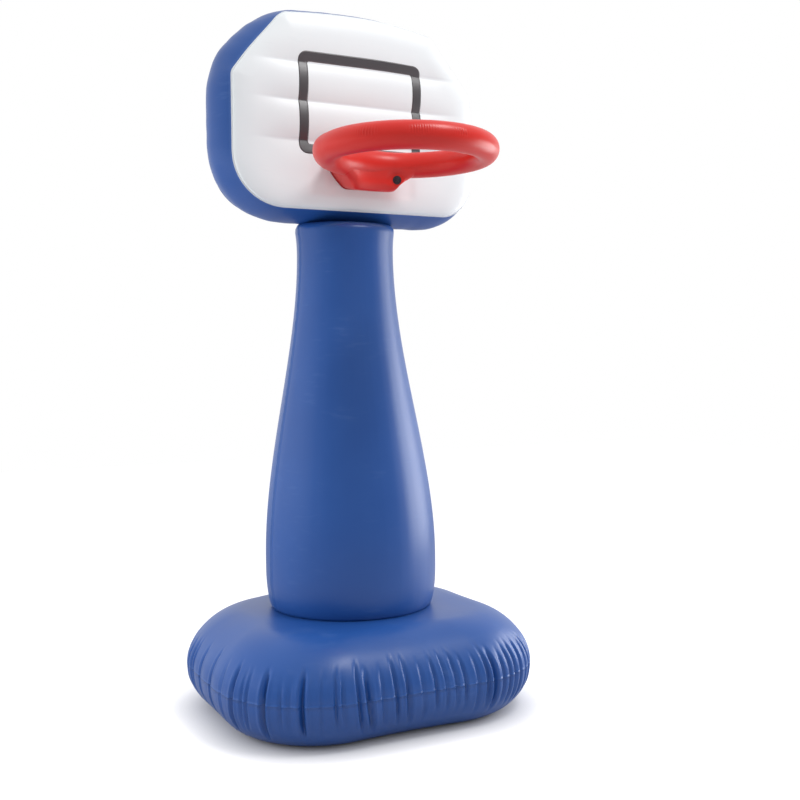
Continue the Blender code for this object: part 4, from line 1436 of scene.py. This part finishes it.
@dataclass(frozen=True)
class Lamp:
    """A soft box: where it hangs, what it points at, its size and its strength."""

    name: str
    place: tuple[float, float, float]
    aim: tuple[float, float, float]
    size: tuple[float, float]
    radiance: float
    mirrored: bool = True

    def hang(self) -> None:
        """Hang the lamp in the scene."""
        data = bpy.data.lights.new(self.name, "AREA")
        data.shape = "RECTANGLE"
        data.size, data.size_y = self.size
        data.energy = math.pi * self.size[0] * self.size[1] * self.radiance
        lamp = bpy.data.objects.new(self.name, data)
        bpy.context.collection.objects.link(lamp)
        turn = (Vector(self.aim) - Vector(self.place)).to_track_quat("-Z", "Y")
        lamp.matrix_world = Matrix.Translation(self.place) @ turn.to_matrix().to_4x4()
        lamp.visible_camera = False
        lamp.visible_glossy = self.mirrored


@dataclass(frozen=True)
class Studio:
    """The camera at the photograph's angle, the pale floor and the soft light."""

    camera_place: tuple[float, float, float] = (-1.3708, -3.0173, 1.0461)
    yaw: float = -27.1527
    pitch: float = -2.0478
    roll: float = -0.5212
    lens: float = 48.226
    floor_size: float = 16.0
    floor_level: float = -0.0004
    floor_colour: tuple[int, int, int] = (196, 196, 200)
    floor_glow: float = 0.56
    # Reach and power of the painted contact shadow: occlusion darkens the floor's glow near the object.
    painted_shadow_reach: float = 0.10
    painted_shadow_power: float = 1.25
    sky_low: float = 0.44
    sky_high: float = 1.10
    mirror_front: float = 0.16
    mirror_back: float = 0.95
    mirror_span: tuple[float, float] = (-0.5, 0.35)
    lamps: tuple[Lamp, ...] = (
        Lamp("overhead_softbox", (0.95, -2.0, 4.2), (0.0, -0.2, 1.5), (1.1, 0.95), 17.0),
        Lamp("right_softbox", (2.6, -0.45, 0.95), (0.0, 0.0, 0.95), (1.9, 1.5), 5.0),
        Lamp("left_softbox", (-2.2, 0.5, 1.0), (0.0, 0.0, 0.9), (2.0, 1.2), 3.5, False),
    )

    def set_camera(self) -> None:
        """Put the camera where the photograph was taken from."""
        yaw, pitch, roll = (math.radians(a) for a in (self.yaw, self.pitch, self.roll))
        flat = math.cos(pitch)
        ahead = Vector((-math.sin(yaw) * flat, math.cos(yaw) * flat, math.sin(pitch)))
        level = ahead.cross(Vector((0, 0, 1))).normalized()
        up = level.cross(ahead)
        right = level * math.cos(roll) + up * math.sin(roll)
        over = up * math.cos(roll) - level * math.sin(roll)
        data = bpy.data.cameras.new("photo_camera")
        data.lens, data.sensor_width, data.clip_end = self.lens, 36.0, 60.0
        camera = bpy.data.objects.new("photo_camera", data)
        bpy.context.collection.objects.link(camera)
        turn = Matrix((right, over, -ahead)).transposed().to_4x4()
        camera.matrix_world = Matrix.Translation(self.camera_place) @ turn
        bpy.context.scene.camera = camera

    def lay_floor(self) -> None:
        """Lay the pale floor, which takes the lamps' shadows; its camera-only glow is darkened near the
        object by ambient occlusion, a painted contact shadow.
        """
        deselect_all()
        bpy.ops.mesh.primitive_plane_add(size=self.floor_size, location=(0, 0, self.floor_level))
        floor = named("studio_floor")
        made, wires = new_material("studio_floor")
        path = wires.add("ShaderNodeLightPath")
        # Painted contact shadow: ambient occlusion darkens the floor's camera-only glow next to the object.
        painted_shadow_occlusion = wires.add("ShaderNodeAmbientOcclusion", {"Distance": self.painted_shadow_reach}, samples=16)
        shade = wires.work("POWER", painted_shadow_occlusion.outputs["AO"], self.painted_shadow_power)
        glow_with_painted_shadow = wires.work("MULTIPLY", shade, self.floor_glow)
        shader = wires.add("ShaderNodeBsdfPrincipled", {
            "Base Color": srgb(*self.floor_colour), "Roughness": 0.9, "Specular IOR Level": 0.1,
            "Emission Strength": wires.work("MULTIPLY", path.outputs["Is Camera Ray"], glow_with_painted_shadow),
            "Emission Color": (1, 1, 1, 1)})
        wires.add("ShaderNodeOutputMaterial", {"Surface": shader.outputs["BSDF"]})
        floor.data.materials.append(made)

    def light_world(self) -> None:
        """Light the scene evenly, white behind the object and darker behind the camera."""
        world = bpy.data.worlds.new("studio_world")
        bpy.context.scene.world = world
        world.use_nodes = True
        wires = Wiring(world.node_tree)
        path = wires.add("ShaderNodeLightPath")
        place = wires.add("ShaderNodeTexCoord").outputs["Generated"]
        way = wires.add("ShaderNodeSeparateXYZ", {0: place})
        depth = wires.between(way.outputs["Y"], *self.mirror_span, self.mirror_front, self.mirror_back)
        height = wires.between(way.outputs["Z"], 0.0, 1.0, self.sky_low, self.sky_high)
        glossy, through = path.outputs["Is Glossy Ray"], path.outputs["Is Transmission Ray"]
        mirrored = wires.work("MAXIMUM", glossy, through)
        plain = wires.between(mirrored, 0.0, 1.0, height, depth)
        strength = wires.between(path.outputs["Is Camera Ray"], 0.0, 1.0, plain, 1.0)
        sky = wires.add("ShaderNodeBackground", {"Color": (1, 1, 1, 1), "Strength": strength})
        wires.add("ShaderNodeOutputWorld", {"Surface": sky.outputs["Background"]})

    def build(self) -> None:
        """Set up the camera, the floor, the lamps and the world."""
        self.set_camera()
        self.lay_floor()
        for lamp in self.lamps:
            lamp.hang()
        self.light_world()
        bpy.context.scene.view_settings.view_transform = "Standard"


def dress_built_nodes(finishes: dict[str, Material]) -> None:
    """Give every node that stays as it is built the finish of its slot.

    Args:
        finishes: The materials by a part of the nodes' names.
    """
    for name, node in frame["nodes"].items():
        for part, finish in finishes.items():
            if part in name and not node.hide_render:
                for held in node.material_slots:
                    held.material = finish
                log.info("%s: built piece, %s", name, finish.name)


def main() -> None:
    """Build the hoop's films, dress what stays as it is built and set up the studio."""
    logging.basicConfig(level=logging.INFO, format="%(message)s")
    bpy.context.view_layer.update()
    Studio().build()
    blue = FilmFinish("blue_film_gloss", (36, 82, 154), (32, 76, 146), (108, 140, 194), 0.36).build()
    white = FilmFinish(
        "white_film_gloss", (234, 238, 240), (230, 234, 237), (212, 216, 222), 0.40,
        relief=0.06).build()
    red = FilmFinish(
        "red_film_gloss", (214, 42, 34), (206, 38, 31), (140, 22, 26), 0.35,
        weld_share=0.6, scuff_share=0.03, specular=0.42).build()
    ink = FilmFinish(
        "black_print_gloss", (56, 50, 56), (48, 43, 49), (96, 90, 94), 0.50,
        relief=0.02, specular=0.9, coat=1.0, coat_roughness=0.42).build()
    vinyl = FilmFinish(
        "valve_vinyl_moulded", (52, 46, 54), (42, 37, 44), (104, 98, 104), 0.30, relief=0.10).build()
    water = WaterFinish().build()
    BaseCushion().build(blue)
    board = BoardForm()
    Column().build(board, blue)
    Backboard(board).build(blue, white, ink)
    Ring().build(red)
    dress_built_nodes({"_valve_": vinyl, "water": water, "foot_disc": blue, "board_web": blue})


if __name__ == "__main__":
    main()
